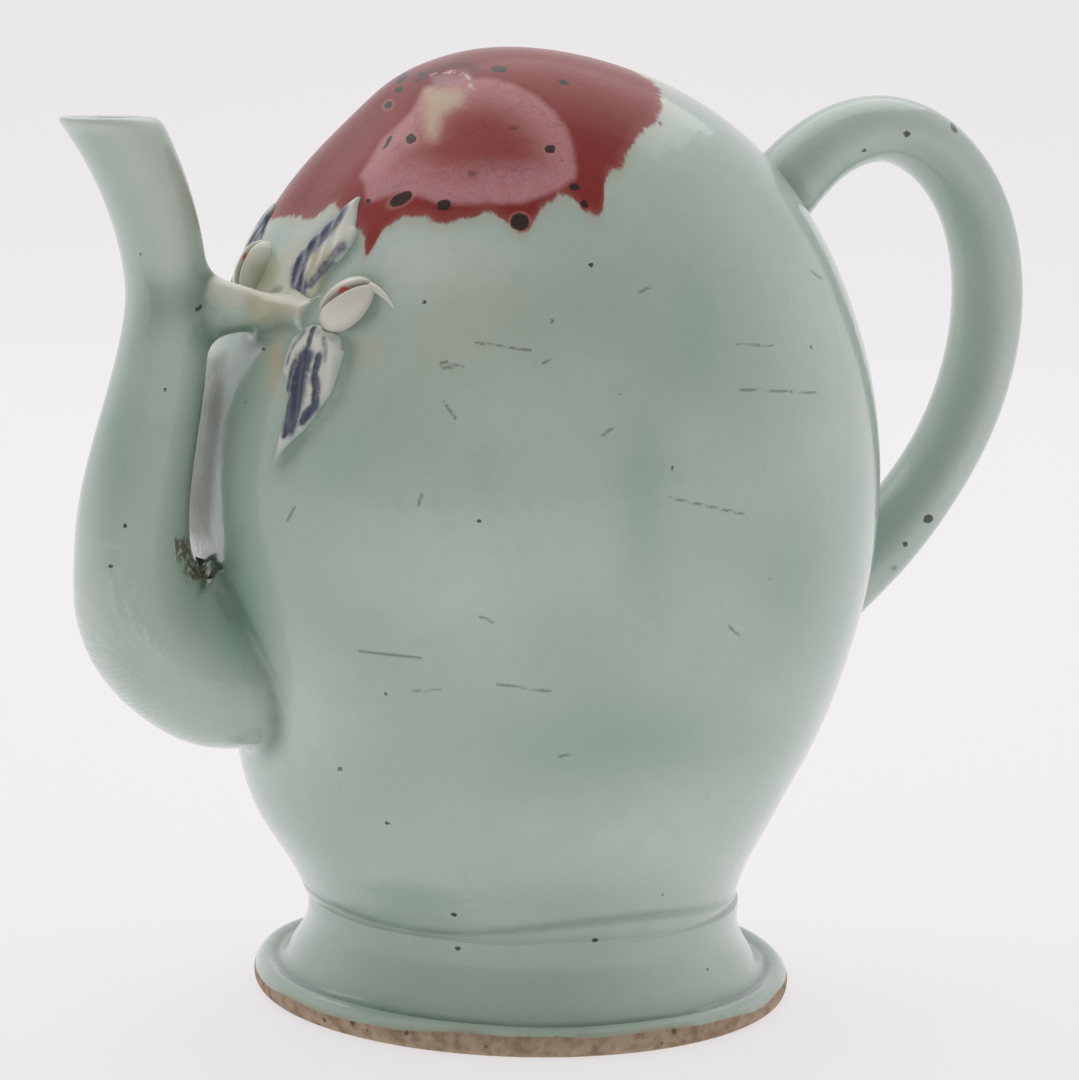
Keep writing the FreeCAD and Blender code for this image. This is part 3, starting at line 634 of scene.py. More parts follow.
def spots(sheet, listed):
    """Depth inside the nearest of some ovals on the sheet, less than nothing outside them."""
    deepest = np.full(len(sheet), -FAR)
    for across, up, half_width, half_height, lean in listed:
        cosine, sine = math.cos(math.radians(lean)), math.sin(math.radians(lean))
        x = (sheet[:, 0] - across) * cosine + (sheet[:, 1] - up) * sine
        y = (sheet[:, 1] - up) * cosine - (sheet[:, 0] - across) * sine
        depth = (1.0 - np.hypot(x / half_width, y / half_height)) * min(half_width, half_height)
        deepest = np.maximum(deepest, depth)
    return deepest


def scratch_gap(sheet):
    """Distance from the nearest scratch on the sheet."""
    nearest = np.full(len(sheet), FAR)
    for across, up, half_length, lean in SCRATCHES:
        reach = half_length * np.array([math.cos(math.radians(lean)), math.sin(math.radians(lean))])
        middle = np.array([across, up])
        nearest = np.minimum(nearest, segment_gap(sheet, middle - reach, middle + reach))
    return nearest


def bend_of(p, step=1.5):
    """How strongly the skin curves: more than nothing on ridges, less than nothing in creases."""
    spread = -6.0 * skin_field(p)
    for axis in range(3):
        hop = np.zeros(3)
        hop[axis] = step
        spread += skin_field(p + hop) + skin_field(p - hop)
    return spread / step ** 2


# Depth that lies outside every mark
NOWHERE = -50.0
SKIN_GRIP = 1.5
CREASE_SPREAD = 2.0
COLLAR_SPREAD = 0.7
COLLAR_TOP = 24.0
RELIEF_HEIGHT = 114.0
RELIEF_REACH = 25.0
RELIEF_RUN = 45.0
POOL_SPREAD = 1.3
MARK_REACH = 8.0
BACK_PALENESS = 0.3


def paint(p, slope, relief):
    """Named values at each point that the glaze material reads."""
    sheet = on_sheet(p)
    body, spout_gap, handle_gap, branch_gap = parts_of(p)
    turn = turn_of(p)
    front = (slope @ view_back) > -0.1
    off_body = np.abs(body) > SKIN_GRIP
    second = np.sort(np.stack([body, spout_gap, handle_gap, branch_gap], 0), axis=0)[1]
    crease = np.exp(-(np.maximum(second, 0.0) / CREASE_SPREAD) ** 2)
    edge = smooth_through(*zip(*COLLAR_EDGE), turn)
    lap = 0.55 * np.exp(-((p[:, 2] - edge) / COLLAR_SPREAD) ** 2) * (p[:, 2] < COLLAR_TOP)
    crease = np.maximum(crease, lap)
    if not relief:
        run = turn * math.pi / 180.0 * BELLY_RADIUS * np.sqrt(np.clip(radius_square(p[:, 2]), 0.0, None))
        near = (np.abs(p[:, 2] - RELIEF_HEIGHT) < RELIEF_REACH) & (run > 0.0) & (run < RELIEF_RUN) & ~off_body
        for outline in RELIEF_OUTLINES:
            gap = -depth_inside(np.stack([run, p[:, 2]], -1)[near], outline)
            crease[near] = np.maximum(crease[near], 0.8 * np.exp(-np.maximum(gap, 0.0) / POOL_SPREAD))
    cap = p[:, 2] - smooth_through(*zip(*CAP_EDGE), turn)
    branch_share = np.exp(-(np.maximum(branch_gap, 0.0) / 1.0) ** 2)

    def mark(outline):
        return np.where(front & (~off_body | (body < MARK_REACH)), depth_inside(sheet, outline), NOWHERE)

    return {
        "cap": np.full(len(p), NOWHERE) if relief else np.where(off_body, NOWHERE, cap),
        "bend": bend_of(p),
        # Beneath the branch, darker by facing downwards: painted shade
        "crease": np.maximum(crease, 0.9 * branch_share * np.clip(-slope[:, 2] * 1.3, 0.0, 1.0)),
        # pink lobe, partly painted reflection
        "pink": mark(PINK_AND_REFLECTION_LOBE),
        "burnt": mark(BURNT_SPOT),
        "lilac": mark(LILAC_PATCH),
        # painted shade along the tip's fold
        "fold": np.exp(-(path_gap(sheet, np.array(TIP_FOLD_SHADE)) / 1.0) ** 2) * front,
        # painted highlights on the fold's edge
        "tip_glint": np.exp(-(path_gap(sheet, np.array(TIP_GLINT_PATH)) / 0.35) ** 2) * front,
        # painted shade in the cleft
        "cleft_shade": mark(CLEFT_SHADE_FIELD),
        # painted shade beside the spout
        "spout_shade": np.where(off_body, NOWHERE, mark(SPOUT_SHADE_STRIP)),
        "rust": mark(RUST_PATCH),
        "lens": mark(LENS_FOLD),
        "green": areas(sheet, GREEN_AREAS) * front,
        # pale places, partly painted light
        "pale": np.where(front, areas(sheet, PALE_AND_LIT_AREAS), BACK_PALENESS),
        "warm": areas(sheet, WARM_AREAS) * front,
        "height": sheet[:, 1],
        "iron": np.where(front, spots(sheet, IRON_SPOTS + HALO_SPOTS), -FAR),
        "rims": np.where(front, spots(sheet, HALO_SPOTS), -FAR),
        "faint": np.where(front, spots(sheet, FAINT_SPOTS), -FAR),
        "lines": np.where(front, scratch_gap(sheet), FAR),
        "rose": np.zeros(len(p)),
        "blue": np.zeros(len(p)),
        "brown": np.zeros(len(p)),
        # On the branch, paler with facing upwards: a painted highlight on its top
        "cream": 0.75 * branch_share * np.clip(slope[:, 2] + 0.45, 0.0, 1.0),
        "bare": np.full(len(p), NOWHERE),
    }


def glazed_piece(name, node, points, faces, normals, **extra):
    """A glazed piece that stands for a solid."""
    values = paint(points, normals, extra.pop("relief", False))
    values.update(extra)
    piece = build_mesh(name, points, faces, normals, **values)
    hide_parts(node)
    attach(piece, "root")
    glazed.append(piece)
    return piece


glazed = []
skin_points, skin_quads = surface_net(skin_low, skin_high, SKIN_STEP)
skin_points, skin_quads = divide(settle(skin_points, 2), skin_quads)
skin_points = settle(skin_points, 2)
skin_normals = unit(gradient(skin_points))

face_centres = skin_points[skin_quads].mean(1)
owner = np.stack(parts_of(face_centres), 0).argmin(0)
is_back = face_centres[:, 1] > 0
PIECES = [
    ("glazed_body_front", "body_front_half", 0, False),
    ("glazed_body_back", "body_back_half", 0, True),
    ("glazed_spout_front", "spout_front_half", 1, False),
    ("glazed_spout_back", "spout_back_half", 1, True),
    ("glazed_handle_front", "handle_front_half", 2, False),
    ("glazed_handle_back", "handle_back_half", 2, True),
    ("glazed_branch", "branch", 3, None),
]
for name, node, number, back in PIECES:
    chosen = owner == number
    if back is not None:
        chosen = chosen & (is_back == back)
    used, faces = np.unique(skin_quads[chosen], return_inverse=True)
    piece = glazed_piece(name, node, skin_points[used], faces.reshape(-1, 4), skin_normals[used])


# Relief that lies on the skin
def skin_place(run, height, side):
    """Points and normals of the skin at a distance around it from the spout's side."""
    turn = run / (BELLY_RADIUS * np.sqrt(radius_square(height)))
    p = settle(body_point(height, math.pi + turn * side, 0.0), 4)
    return p, unit(gradient(p))


FRONT, BACK = 1, -1


def grid_faces(rows, columns, closed=False):
    """Quads of a grid of points, row by row."""
    faces = []
    last = columns if closed else columns - 1
    for row in range(rows - 1):
        for column in range(last):
            beside = (column + 1) % columns
            at = row * columns
            faces.append((at + column, at + beside, at + columns + beside, at + columns + column))
    return np.array(faces)


def grid_normals(points, rows, columns, closed=False):
    grid = points.reshape(rows, columns, 3)
    down = np.gradient(grid, axis=0)
    if closed:
        across = (np.roll(grid, -1, axis=1) - np.roll(grid, 1, axis=1)) / 2.0
    else:
        across = np.gradient(grid, axis=1)
    return unit(np.cross(across, down).reshape(-1, 3))


LEAF_RISE = 1.15


def leaf(name, node, stations, strokes, side, drop=0.0):
    """Leaf moulded on the skin, with grooves that hold the blue."""
    rows, columns = 90, 56
    heights, lefts, rights = zip(*stations)
    knots = np.linspace(0.0, 1.0, len(stations))
    s = np.repeat(np.linspace(0.0, 1.0, rows), columns)
    t = np.tile(np.linspace(-1.0, 1.0, columns), rows)
    height = smooth_through(knots, heights, s)
    left = smooth_through(knots, lefts, s)
    right = smooth_through(knots, rights, s)
    run = (left + right) / 2.0 + t * (right - left) / 2.0
    place = np.stack([run, height], -1)
    p, normal = skin_place(run, height - drop, side)
    rim = np.sqrt(np.clip(1.0 - t * t, 0.0, 1.0)) * np.clip(np.sin(np.pi * s), 0.0, 1.0) ** 0.5
    lift = LEAF_RISE * np.minimum(rim * 1.25, 1.0) ** 0.7 - 0.3
    lift += 0.12 * np.sin(run * 2.3 + height * 0.9) * rim
    blue = np.zeros(len(p))
    for path, width, strength in strokes:
        gap = path_gap(place, np.array(path))
        lift -= 0.34 * strength * np.exp(-(gap / (width * 0.6)) ** 2) * rim
        blue = np.maximum(blue, strength * np.clip(1.5 - gap / width, 0.0, 1.0))
    p = p + normal * lift[:, None]
    normals = grid_normals(p, rows, columns)
    flip = (normals * normal).sum(1).mean() < 0
    faces = grid_faces(rows, columns)
    if flip:
        faces = faces[:, ::-1]
        normals = -normals
    cream = 0.9 * np.clip(rim, 0.0, 1.0)
    piece = glazed_piece(name, node, p, faces, normals, blue=blue, cream=cream, relief=True)


leaf("moulded_upper_leaf_front", "upper_leaf_front", UPPER_LEAF, UPPER_STROKES, FRONT)
leaf("moulded_upper_leaf_back", "upper_leaf_back", UPPER_LEAF, UPPER_STROKES, BACK, 3.0)
leaf("moulded_lower_leaf_front", "lower_leaf_front", LOWER_LEAF, LOWER_STROKES, FRONT)
leaf("moulded_lower_leaf_back", "lower_leaf_back", LOWER_LEAF, LOWER_STROKES, BACK)

BUD_HALF_LENGTH = 4.7
BUD_HALF_WIDTH = 4.1
BUD_RISE = 3.4


def bud(name, node, run, height, tilt, side):
    """Plump bud with a slit along it."""
    rows, columns = 30, 72
    r = np.repeat(np.linspace(0.0, 1.0, rows), columns)
    around = np.tile(np.linspace(0.0, 2.0 * math.pi, columns, endpoint=False), rows)
    lean = math.radians(tilt)
    along = r * np.cos(around) * BUD_HALF_LENGTH
    across = r * np.sin(around) * BUD_HALF_WIDTH
    p, normal = skin_place(
        run + along * math.sin(lean) + across * math.cos(lean),
        height + along * math.cos(lean) - across * math.sin(lean),
        side,
    )
    dome = np.sqrt(np.clip(1.0 - r ** 2.4, 0.0, 1.0))
    slit_line = 0.5 + 0.35 * np.cos(along / BUD_HALF_LENGTH * 1.4)
    gap = np.abs(across + slit_line)
    inner = np.clip(1.15 - np.abs(along) / BUD_HALF_LENGTH, 0.0, 1.0)
    slit = np.exp(-(gap / (0.28 + 0.25 * inner)) ** 2) * np.clip(inner * 3.0, 0.0, 1.0)
    lips = np.exp(-((gap - 0.8) / 0.5) ** 2) * inner
    p = p + normal * (BUD_RISE * dome - 0.35 - 0.75 * slit + 0.15 * lips)[:, None]
    faces = grid_faces(rows, columns, True)
    normals = grid_normals(p, rows, columns, True)
    normals[:columns] = normal[:columns]
    if (normals * normal).sum(1).mean() < 0:
        faces = faces[:, ::-1]
        normals = -normals
        normals[:columns] = normal[:columns]
    rose = np.exp(-((along - 1.0) / 0.9) ** 2 - (gap / 0.7) ** 2)
    values = {"brown": slit * 0.8, "rose": rose, "cream": 0.6 + 0.4 * dome}
    piece = glazed_piece(name, node, p, faces, normals, relief=True, **values)


bud("moulded_bud_front", "bud_front", BUD_RUN, BUD_HEIGHT, 50.0, FRONT)
bud("moulded_bud_back", "bud_back", 7.6, 120.2, 8.0, BACK)


def tendril(name, node, side):
    """Thin curl that runs on from the bud."""
    rows, columns = 40, 14
    share = np.linspace(0.0, 1.0, rows)
    run = 27.0 + 8.8 * share
    height = 120.9 - 0.6 * share - 2.9 * share ** 2.2
    spine, normal = skin_place(run, height, side)
    along = unit(np.gradient(spine, axis=0))
    across = unit(np.cross(along, normal))
    radius = 0.85 * (1.0 - share) ** 0.6 * np.clip(share * 12.0 + 0.3, 0.0, 1.0) + 0.05
    around = np.linspace(0.0, 2.0 * math.pi, columns, endpoint=False)
    sideways = np.cos(around)[None, :, None] * across[:, None, :]
    outwards = np.sin(around)[None, :, None] * normal[:, None, :]
    p = spine[:, None, :] + radius[:, None, None] * (sideways + outwards)
    out = unit((p - spine[:, None, :]).reshape(-1, 3))
    p = p.reshape(-1, 3)
    faces = grid_faces(rows, columns, True)
    first = p[faces[0]]
    if np.cross(first[1] - first[0], first[3] - first[0]) @ out[0] < 0:
        faces = faces[:, ::-1]
    piece = glazed_piece(name, node, p, faces, out, cream=np.full(len(p), 0.8), relief=True)


tendril("moulded_tendril_front", "tendril_front", FRONT)
tendril("moulded_tendril_back", "tendril_back", BACK)


# Foot: the solid's outline with the unevenness of a hand-trimmed ring, and a collar lapped over the body
FOOT_OUTLINE = [
    (32.2, 9.4), (34.0, 6.5), (37.4, 0.9), (38.6, 0.1), (42.8, 0.0), (44.0, 0.4), (44.85, 1.7),
    (44.85, 3.3), (44.0, 4.6), (43.2, 4.95), (42.3, 4.75), (41.2, 4.45), (40.2, 4.9), (38.9, 6.6),
    (37.6, 8.6), (36.6, 10.6), (36.1, 12.8), (36.1, 14.6), (36.1, 16.2),
]
FOOT_ROWS = 150
COLLAR_ROWS = 16
FOOT_COLUMNS = 420
GLAZE_EDGE = 3.5
RECESS_TOP = 9.6
FULLY_BARE = 5.0


def foot():
    outline = spline([(radius, height, 0.0) for radius, height in FOOT_OUTLINE], FOOT_ROWS)[0]
    angle = np.linspace(0.0, 2.0 * math.pi, FOOT_COLUMNS, endpoint=False)
    uneven = 0.16 * np.sin(2.0 * angle + 0.6) + 0.11 * np.sin(5.0 * angle + 2.0) + 0.05 * np.sin(11.0 * angle)
    radius = np.repeat(outline[:, 0], FOOT_COLUMNS)
    height = np.repeat(outline[:, 1], FOOT_COLUMNS)
    theta = np.tile(angle, FOOT_ROWS)
    wave = np.tile(uneven, FOOT_ROWS)
    outer = ease(39.0, 42.0, radius) * ease(0.3, 2.5, height)
    radius = radius + wave * outer * 0.8
    height = height + wave * outer * 1.1 * (height > 0.2)
    p = np.stack([radius * np.cos(theta), radius * np.sin(theta), height], -1)
    turn = np.degrees(math.pi - angle)
    turn = np.where(angle > math.pi, -turn, -turn)
    top = smooth_through(*zip(*COLLAR_EDGE), turn)
    rows = [p]
    for share in np.linspace(0.08, 1.0, COLLAR_ROWS):
        ring = settle(body_point(16.2 + (top - 16.2) * share, angle), 3)
        rows.append(ring + unit(gradient(ring)) * (0.25 * (1.0 - share ** 4) - 0.25 * share ** 8))
    p = np.concatenate(rows)
    row_count = FOOT_ROWS + COLLAR_ROWS
    faces = grid_faces(row_count, FOOT_COLUMNS, True)
    normals = grid_normals(p, row_count, FOOT_COLUMNS, True)
    middle = p[FOOT_ROWS * FOOT_COLUMNS - FOOT_COLUMNS]
    if normals[FOOT_ROWS * FOOT_COLUMNS - FOOT_COLUMNS] @ (middle * (1, 1, 0)) < 0:
        faces = faces[:, ::-1]
        normals = -normals
    theta = np.arctan2(p[:, 1], p[:, 0])
    edge = GLAZE_EDGE + 0.35 * np.sin(3.0 * theta + 1.0) + 0.2 * np.sin(8.0 * theta)
    edge = edge + 0.1 * np.sin(17.0 * theta + 2.0)
    inner = np.hypot(p[:, 0], p[:, 1]) < 40.5
    underside = inner & (p[:, 2] < RECESS_TOP) & (np.arange(len(p)) < FOOT_COLUMNS * FOOT_ROWS // 2)
    bare = np.where(underside, FULLY_BARE, edge - p[:, 2])
    channel = bump(41.3, 1.0, np.hypot(p[:, 0], p[:, 1])) * ease(3.8, 4.4, p[:, 2]) * (p[:, 2] < 7.0)
    collar = 0.5 * ease(1.6, 0.2, smooth_through(*zip(*COLLAR_EDGE), turn_of(p)) - p[:, 2])
    crease = np.maximum(channel, collar)
    piece = glazed_piece("glazed_foot", "foot_ring", p, faces, normals, bare=bare, crease=crease)
    return piece


foot()


# Materials
def linear(red, green, blue):
    """Colour for a shader from the usual 0 to 255 values."""
    shares = np.array([red, green, blue]) / 255.0
    values = np.where(shares <= 0.04045, shares / 12.92, ((shares + 0.055) / 1.055) ** 2.4)
    return (*[float(value) for value in values], 1.0)


class Maker:
    """Makes and links the nodes of one material."""

    def __init__(self, name):
        self.material = bpy.data.materials.new(name)
        self.material.use_nodes = True
        self.nodes = self.material.node_tree.nodes
        self.links = self.material.node_tree.links
        self.shader = self.nodes["Principled BSDF"]

    def plug(self, socket, value):
        if isinstance(value, bpy.types.NodeSocket):
            self.links.new(value, socket)
        else:
            socket.default_value = value

    def math(self, kind, *values):
        node = self.nodes.new("ShaderNodeMath")
        node.operation = kind
        for socket, value in zip(node.inputs, values):
            self.plug(socket, value)
        return node.outputs[0]

    def attribute(self, name, output="Fac"):
        node = self.nodes.new("ShaderNodeAttribute")
        node.attribute_name = name
        return node.outputs[output]

    def place(self, scale=(1.0, 1.0, 1.0)):
        coordinates = self.nodes.new("ShaderNodeTexCoord").outputs["Object"]
        if scale == (1.0, 1.0, 1.0):
            return coordinates
        node = self.nodes.new("ShaderNodeMapping")
        self.plug(node.inputs["Vector"], coordinates)
        node.inputs["Scale"].default_value = scale
        return node.outputs[0]

    def noise(self, scale, detail=3.0, rough=0.55, stretch=(1.0, 1.0, 1.0), warp=0.0):
        node = self.nodes.new("ShaderNodeTexNoise")
        self.plug(node.inputs["Vector"], self.place(stretch))
        node.inputs["Scale"].default_value = scale
        node.inputs["Detail"].default_value = detail
        node.inputs["Roughness"].default_value = rough
        node.inputs["Distortion"].default_value = warp
        return node.outputs["Fac"]

    def step(self, value, low, high):
        """Smooth step from 0 at low to 1 at high."""
        node = self.nodes.new("ShaderNodeMapRange")
        node.interpolation_type = "SMOOTHSTEP"
        self.plug(node.inputs["Value"], value)
        node.inputs["From Min"].default_value = low
        node.inputs["From Max"].default_value = high
        return node.outputs["Result"]

    def mix(self, share, first, second):
        node = self.nodes.new("ShaderNodeMix")
        node.data_type = "RGBA"
        self.plug(node.inputs[0], share)
        self.plug(node.inputs[6], first)
        self.plug(node.inputs[7], second)
        return node.outputs[2]

    def over(self, colour, tone, *shares):
        """Lays a tone over a colour, by the product of the shares."""
        return self.mix(self.product(*shares), colour, linear(*tone))

    def product(self, *values):
        result = values[0]
        for value in values[1:]:
            result = self.math("MULTIPLY", result, value)
        return result

    def dent(self, height, strength, distance, *inputs):
        """Fine unevenness for the named inputs of the shader."""
        node = self.nodes.new("ShaderNodeBump")
        node.inputs["Strength"].default_value = strength
        node.inputs["Distance"].default_value = distance
        self.plug(node.inputs["Height"], height)
        for name in inputs:
            self.plug(self.shader.inputs[name], node.outputs[0])

    def cells(self, scale, stretch=(1.0, 1.0, 1.0)):
        """Distance to the nearest of scattered points, and a chance value for each of them."""
        node = self.nodes.new("ShaderNodeTexVoronoi")
        self.plug(node.inputs["Vector"], self.place(stretch))
        node.inputs["Scale"].default_value = scale
        chance = self.nodes.new("ShaderNodeSeparateColor")
        self.plug(chance.inputs[0], node.outputs["Color"])
        return node.outputs["Distance"], chance.outputs[0], chance.outputs[1]

    def specks(self, scale, share, size, stretch=(1.0, 1.0, 1.0)):
        """Scattered specks: a share of the cells has one, of chance size."""
        distance, chance, other = self.cells(scale, stretch)
        chosen = self.math("LESS_THAN", chance, share)
        radius = self.math("MULTIPLY_ADD", other, size * 0.7, size * 0.3)
        inside = self.math("SUBTRACT", radius, distance)
        return self.product(chosen, self.step(inside, 0.0, size * 0.35))


def glaze_noises(m):
    """Unevenness that several layers of the glaze share."""
    m.slow = m.noise(22.0, 2.0)
    m.cloud = m.noise(90.0, 4.0, 0.6)
    m.fine = m.noise(650.0, 3.0, 0.6)
    m.ragged = m.math("MULTIPLY_ADD", m.noise(180.0, 4.0, 0.65, (1.0, 1.0, 0.45)), 5.0, -2.5)
    m.threads = m.math("MULTIPLY_ADD", m.noise(700.0, 3.0, 0.6, (1.0, 1.0, 0.22)), 3.0, -1.5)


def celadon(m):
    """Thin and pale on ridges, thick and green in creases, with slow clouds of both. The branch is painted
    lighter on top as a highlight and darker beneath as shade.
    """
    colour = m.mix(m.step(m.slow, 0.35, 0.65), linear(170, 190, 177), linear(186, 202, 189))
    # Pale places, partly painted highlights and painted light from the floor
    colour = m.over(colour, (206, 217, 209), m.attribute("pale"))
    colour = m.over(colour, (140, 176, 157), m.attribute("green"))
    colour = m.over(colour, (162, 184, 168), m.step(m.cloud, 0.45, 0.75), 0.3)
    colour = m.over(colour, (140, 160, 145), m.step(m.fine, 0.5, 0.8), 0.12)
    colour = m.over(colour, (206, 188, 156), m.attribute("warm"), m.step(m.cloud, 0.3, 0.6))
    bend = m.attribute("bend")
    hollow = m.step(m.math("MULTIPLY", bend, -1.0), 0.06, 0.5)
    ridge = m.step(bend, 0.16, 0.6)
    # Glaze pooled in hollows and creases, with painted shade beneath the branch
    gathered_and_shaded = m.math("MAXIMUM", hollow, m.attribute("crease"))
    gathered_and_shaded = m.product(gathered_and_shaded, m.math("MULTIPLY_ADD", m.step(m.cloud, 0.25, 0.55), 0.5, 0.5))
    colour = m.over(colour, (92, 120, 102), gathered_and_shaded, 0.85)
    colour = m.over(colour, (222, 228, 219), ridge, 0.5)
    # Cream of the leaves, buds and tendrils, and a painted highlight on the branch's top
    cream = m.step(m.math("MULTIPLY_ADD", m.noise(300.0, 3.0), 0.5, m.attribute("cream")), 0.45, 0.95)
    colour = m.over(colour, (224, 221, 206), cream, 0.9)
    return colour


def marks_and_shade(m, colour):
    """Painted shade on the body beside the spout, a rusty patch below it, painted shade in the cleft by the
    branch's end and the fold in the foot's collar.
    """
    # Painted shade: darker olive-brown on the body beside the spout, where the spout shades it
    spout_shade = m.step(m.math("MULTIPLY_ADD", m.ragged, 0.6, m.attribute("spout_shade")), -1.2, 1.8)
    colour = m.over(
        colour, (100, 99, 74),
        spout_shade, m.math("MULTIPLY_ADD", m.step(m.cloud, 0.35, 0.65), 0.4, 0.5),
    )
    rust = m.step(m.math("MULTIPLY_ADD", m.threads, 0.7, m.attribute("rust")), -0.8, 0.8)
    colour = m.over(colour, (104, 74, 44), rust, m.step(m.noise(900.0, 3.0), 0.35, 0.6), 0.9)
    # Painted shade in the cleft: a yellowish tint with a ragged edge
    cleft_shade = m.step(m.math("ADD", m.attribute("cleft_shade"), m.ragged), -1.5, 1.5)
    colour = m.over(colour, (186, 178, 142), cleft_shade, 0.6)
    inside_lens = m.step(m.attribute("lens"), -0.6, 1.2)
    colour = m.over(colour, (166, 192, 178), inside_lens, 0.5)
    return colour, spout_shade


def red_cap(m, colour):
    """Smooth deep red, a pale pink crescent that is partly painted reflection, a burnt spot and a lilac sheen
    near the tip, painted shade along the tip's fold and painted highlights on the fold's edge.
    """
    edge = m.math("MULTIPLY_ADD", m.threads, 0.7, m.math("MULTIPLY_ADD", m.ragged, 0.45, m.attribute("cap")))
    red = m.step(edge, -0.45, 0.45)
    halo = m.product(m.step(edge, -2.2, -0.4), m.math("SUBTRACT", 1.0, red))
    colour = m.over(colour, (182, 176, 156), halo, 0.5)
    mottle = m.noise(420.0, 4.0, 0.65)
    grain = m.noise(2200.0, 2.0, 0.6)
    cap = m.mix(m.step(m.slow, 0.35, 0.65), linear(136, 44, 42), linear(148, 54, 50))
    inside_pink = m.math("MULTIPLY_ADD", m.ragged, 0.25, m.attribute("pink"))
    # The pale crescent is partly pink glaze and partly a painted reflection
    crescent = m.product(m.step(inside_pink, -0.5, 0.9), m.step(inside_pink, 9.0, 1.5))
    lower = m.step(m.attribute("height"), 60.0, 54.0)
    middle = m.step(inside_pink, -0.6, 3.0)
    cap = m.over(cap, (176, 104, 100), middle, 0.35)
    cap = m.over(cap, (214, 158, 160), crescent, 0.6)
    speckle = m.product(lower, m.step(inside_pink, -0.5, 1.0), m.step(mottle, 0.42, 0.58))
    cap = m.over(cap, (196, 146, 154), speckle, 0.6)
    cap = m.over(cap, (98, 34, 36), m.step(mottle, 0.5, 0.7), 0.22)
    cap = m.over(cap, (104, 40, 40), m.step(grain, 0.55, 0.75), 0.3)
    cap = m.over(cap, (172, 112, 98), m.step(edge, 2.2, 0.2), 0.3)
    burnt = m.step(m.math("MULTIPLY_ADD", m.threads, 0.5, m.attribute("burnt")), -1.2, 1.6)
    cap = m.over(cap, (206, 186, 160), burnt, 0.9)
    cap = m.over(cap, (178, 150, 158), m.step(m.attribute("lilac"), -0.6, 0.6), 0.45)
    # Painted shade: dark red along the tip's fold
    cap = m.over(cap, (92, 26, 28), m.attribute("fold"), 0.8)
    # Painted highlights: pale glints broken by the mottle along the fold's edge
    cap = m.over(cap, (226, 206, 200), m.attribute("tip_glint"), m.step(mottle, 0.45, 0.55), 0.9)
    colour = m.mix(red, colour, cap)
    return colour, red


def brush_marks(m, colour):
    """Blue in the leaves' grooves, brown in the buds' slits."""
    broken = m.math("MULTIPLY_ADD", m.noise(900.0, 4.0, 0.65), 0.7, -0.35)
    blue_share = m.step(m.math("ADD", m.attribute("blue"), broken), 0.3, 0.95)
    grey_share = m.step(m.math("ADD", m.attribute("blue"), broken), 0.0, 0.6)
    colour = m.over(colour, (140, 152, 158), grey_share, 0.35)
    colour = m.over(colour, (38, 50, 82), blue_share, 0.95)
    colour = m.over(colour, (92, 52, 34), m.attribute("brown"), 0.9)
    colour = m.over(colour, (186, 84, 60), m.step(m.attribute("rose"), 0.3, 0.7))
    return colour


def iron_marks(m, colour):
    """Large iron spots where the pot has them, fine specks and ticks all over."""
    wavering = m.math("MULTIPLY_ADD", m.noise(1200.0, 2.0), 0.5, -0.25)
    iron = m.step(m.math("ADD", m.attribute("iron"), wavering), -0.08, 0.12)
    colour = m.over(colour, (196, 142, 134), m.step(m.attribute("rims"), -0.6, -0.05), 0.4)
    faint = m.product(m.step(m.math("ADD", m.attribute("faint"), wavering), -0.2, 0.3), 0.5)
    iron = m.math("MAXIMUM", iron, faint)
    lines = m.product(m.step(m.attribute("lines"), 0.38, 0.1), 0.75)
    specks = m.math("MAXIMUM", m.specks(110.0, 0.05, 0.09), m.specks(300.0, 0.05, 0.14))
    ticks = m.specks(160.0, 0.08, 0.05, (1.0, 1.0, 0.35))
    marks = m.math("MAXIMUM", m.math("MAXIMUM", specks, lines), m.product(ticks, 0.6))
    colour = m.over(colour, (66, 60, 48), marks, 0.7)
    colour = m.over(colour, (36, 36, 30), iron, 0.92)
    return colour, specks


def bare_clay(m, colour):
    """Bare clay under the foot, rusty where the glaze begins."""
    bare_depth = m.attribute("bare")
    bare = m.step(m.math("MULTIPLY_ADD", m.threads, 0.15, bare_depth), -0.12, 0.12)
    body = m.mix(m.step(m.noise(500.0, 4.0), 0.35, 0.7), linear(176, 154, 130), linear(140, 116, 92))
    body = m.over(body, (72, 56, 44), m.specks(500.0, 0.35, 0.3), 0.75)
    rusty = m.product(m.step(bare_depth, -1.1, -0.1), m.step(m.cloud, 0.3, 0.6))
    colour = m.over(colour, (146, 128, 98), rusty, 0.5)
    colour = m.mix(bare, colour, body)
    return colour, bare


def glaze_material():
    m = Maker("celadon_glaze")
    glaze_noises(m)
    colour, spout_shade = marks_and_shade(m, celadon(m))
    colour, red = red_cap(m, colour)
    colour, specks = iron_marks(m, brush_marks(m, colour))
    colour, bare = bare_clay(m, colour)

    glossy = m.math("SUBTRACT", 1.0, bare)
    # The coat is weaker on the red cap and in the painted shade beside the spout
    mild = m.math("SUBTRACT", 1.0, m.math("MAXIMUM", m.product(red, 0.85), m.product(spout_shade, 0.7)))
    m.plug(m.shader.inputs["Base Color"], colour)
    m.plug(m.shader.inputs["Roughness"], m.math("MULTIPLY_ADD", glossy, -0.5, 0.75))
    m.plug(m.shader.inputs["Specular IOR Level"], m.math("MULTIPLY_ADD", mild, 0.3, 0.1))
    m.plug(m.shader.inputs["Coat Weight"], m.product(glossy, mild, 0.75))
    m.shader.inputs["Coat Roughness"].default_value = 0.06
    m.shader.inputs["Coat IOR"].default_value = 1.45
    height = m.math("MULTIPLY_ADD", m.noise(420.0, 2.0), 0.6, m.math("MULTIPLY", m.noise(110.0, 2.0), 0.8))
    height = m.math("ADD", height, m.product(specks, -0.4))
    m.dent(height, 0.22, 0.0004, "Coat Normal", "Normal")
    return m.material


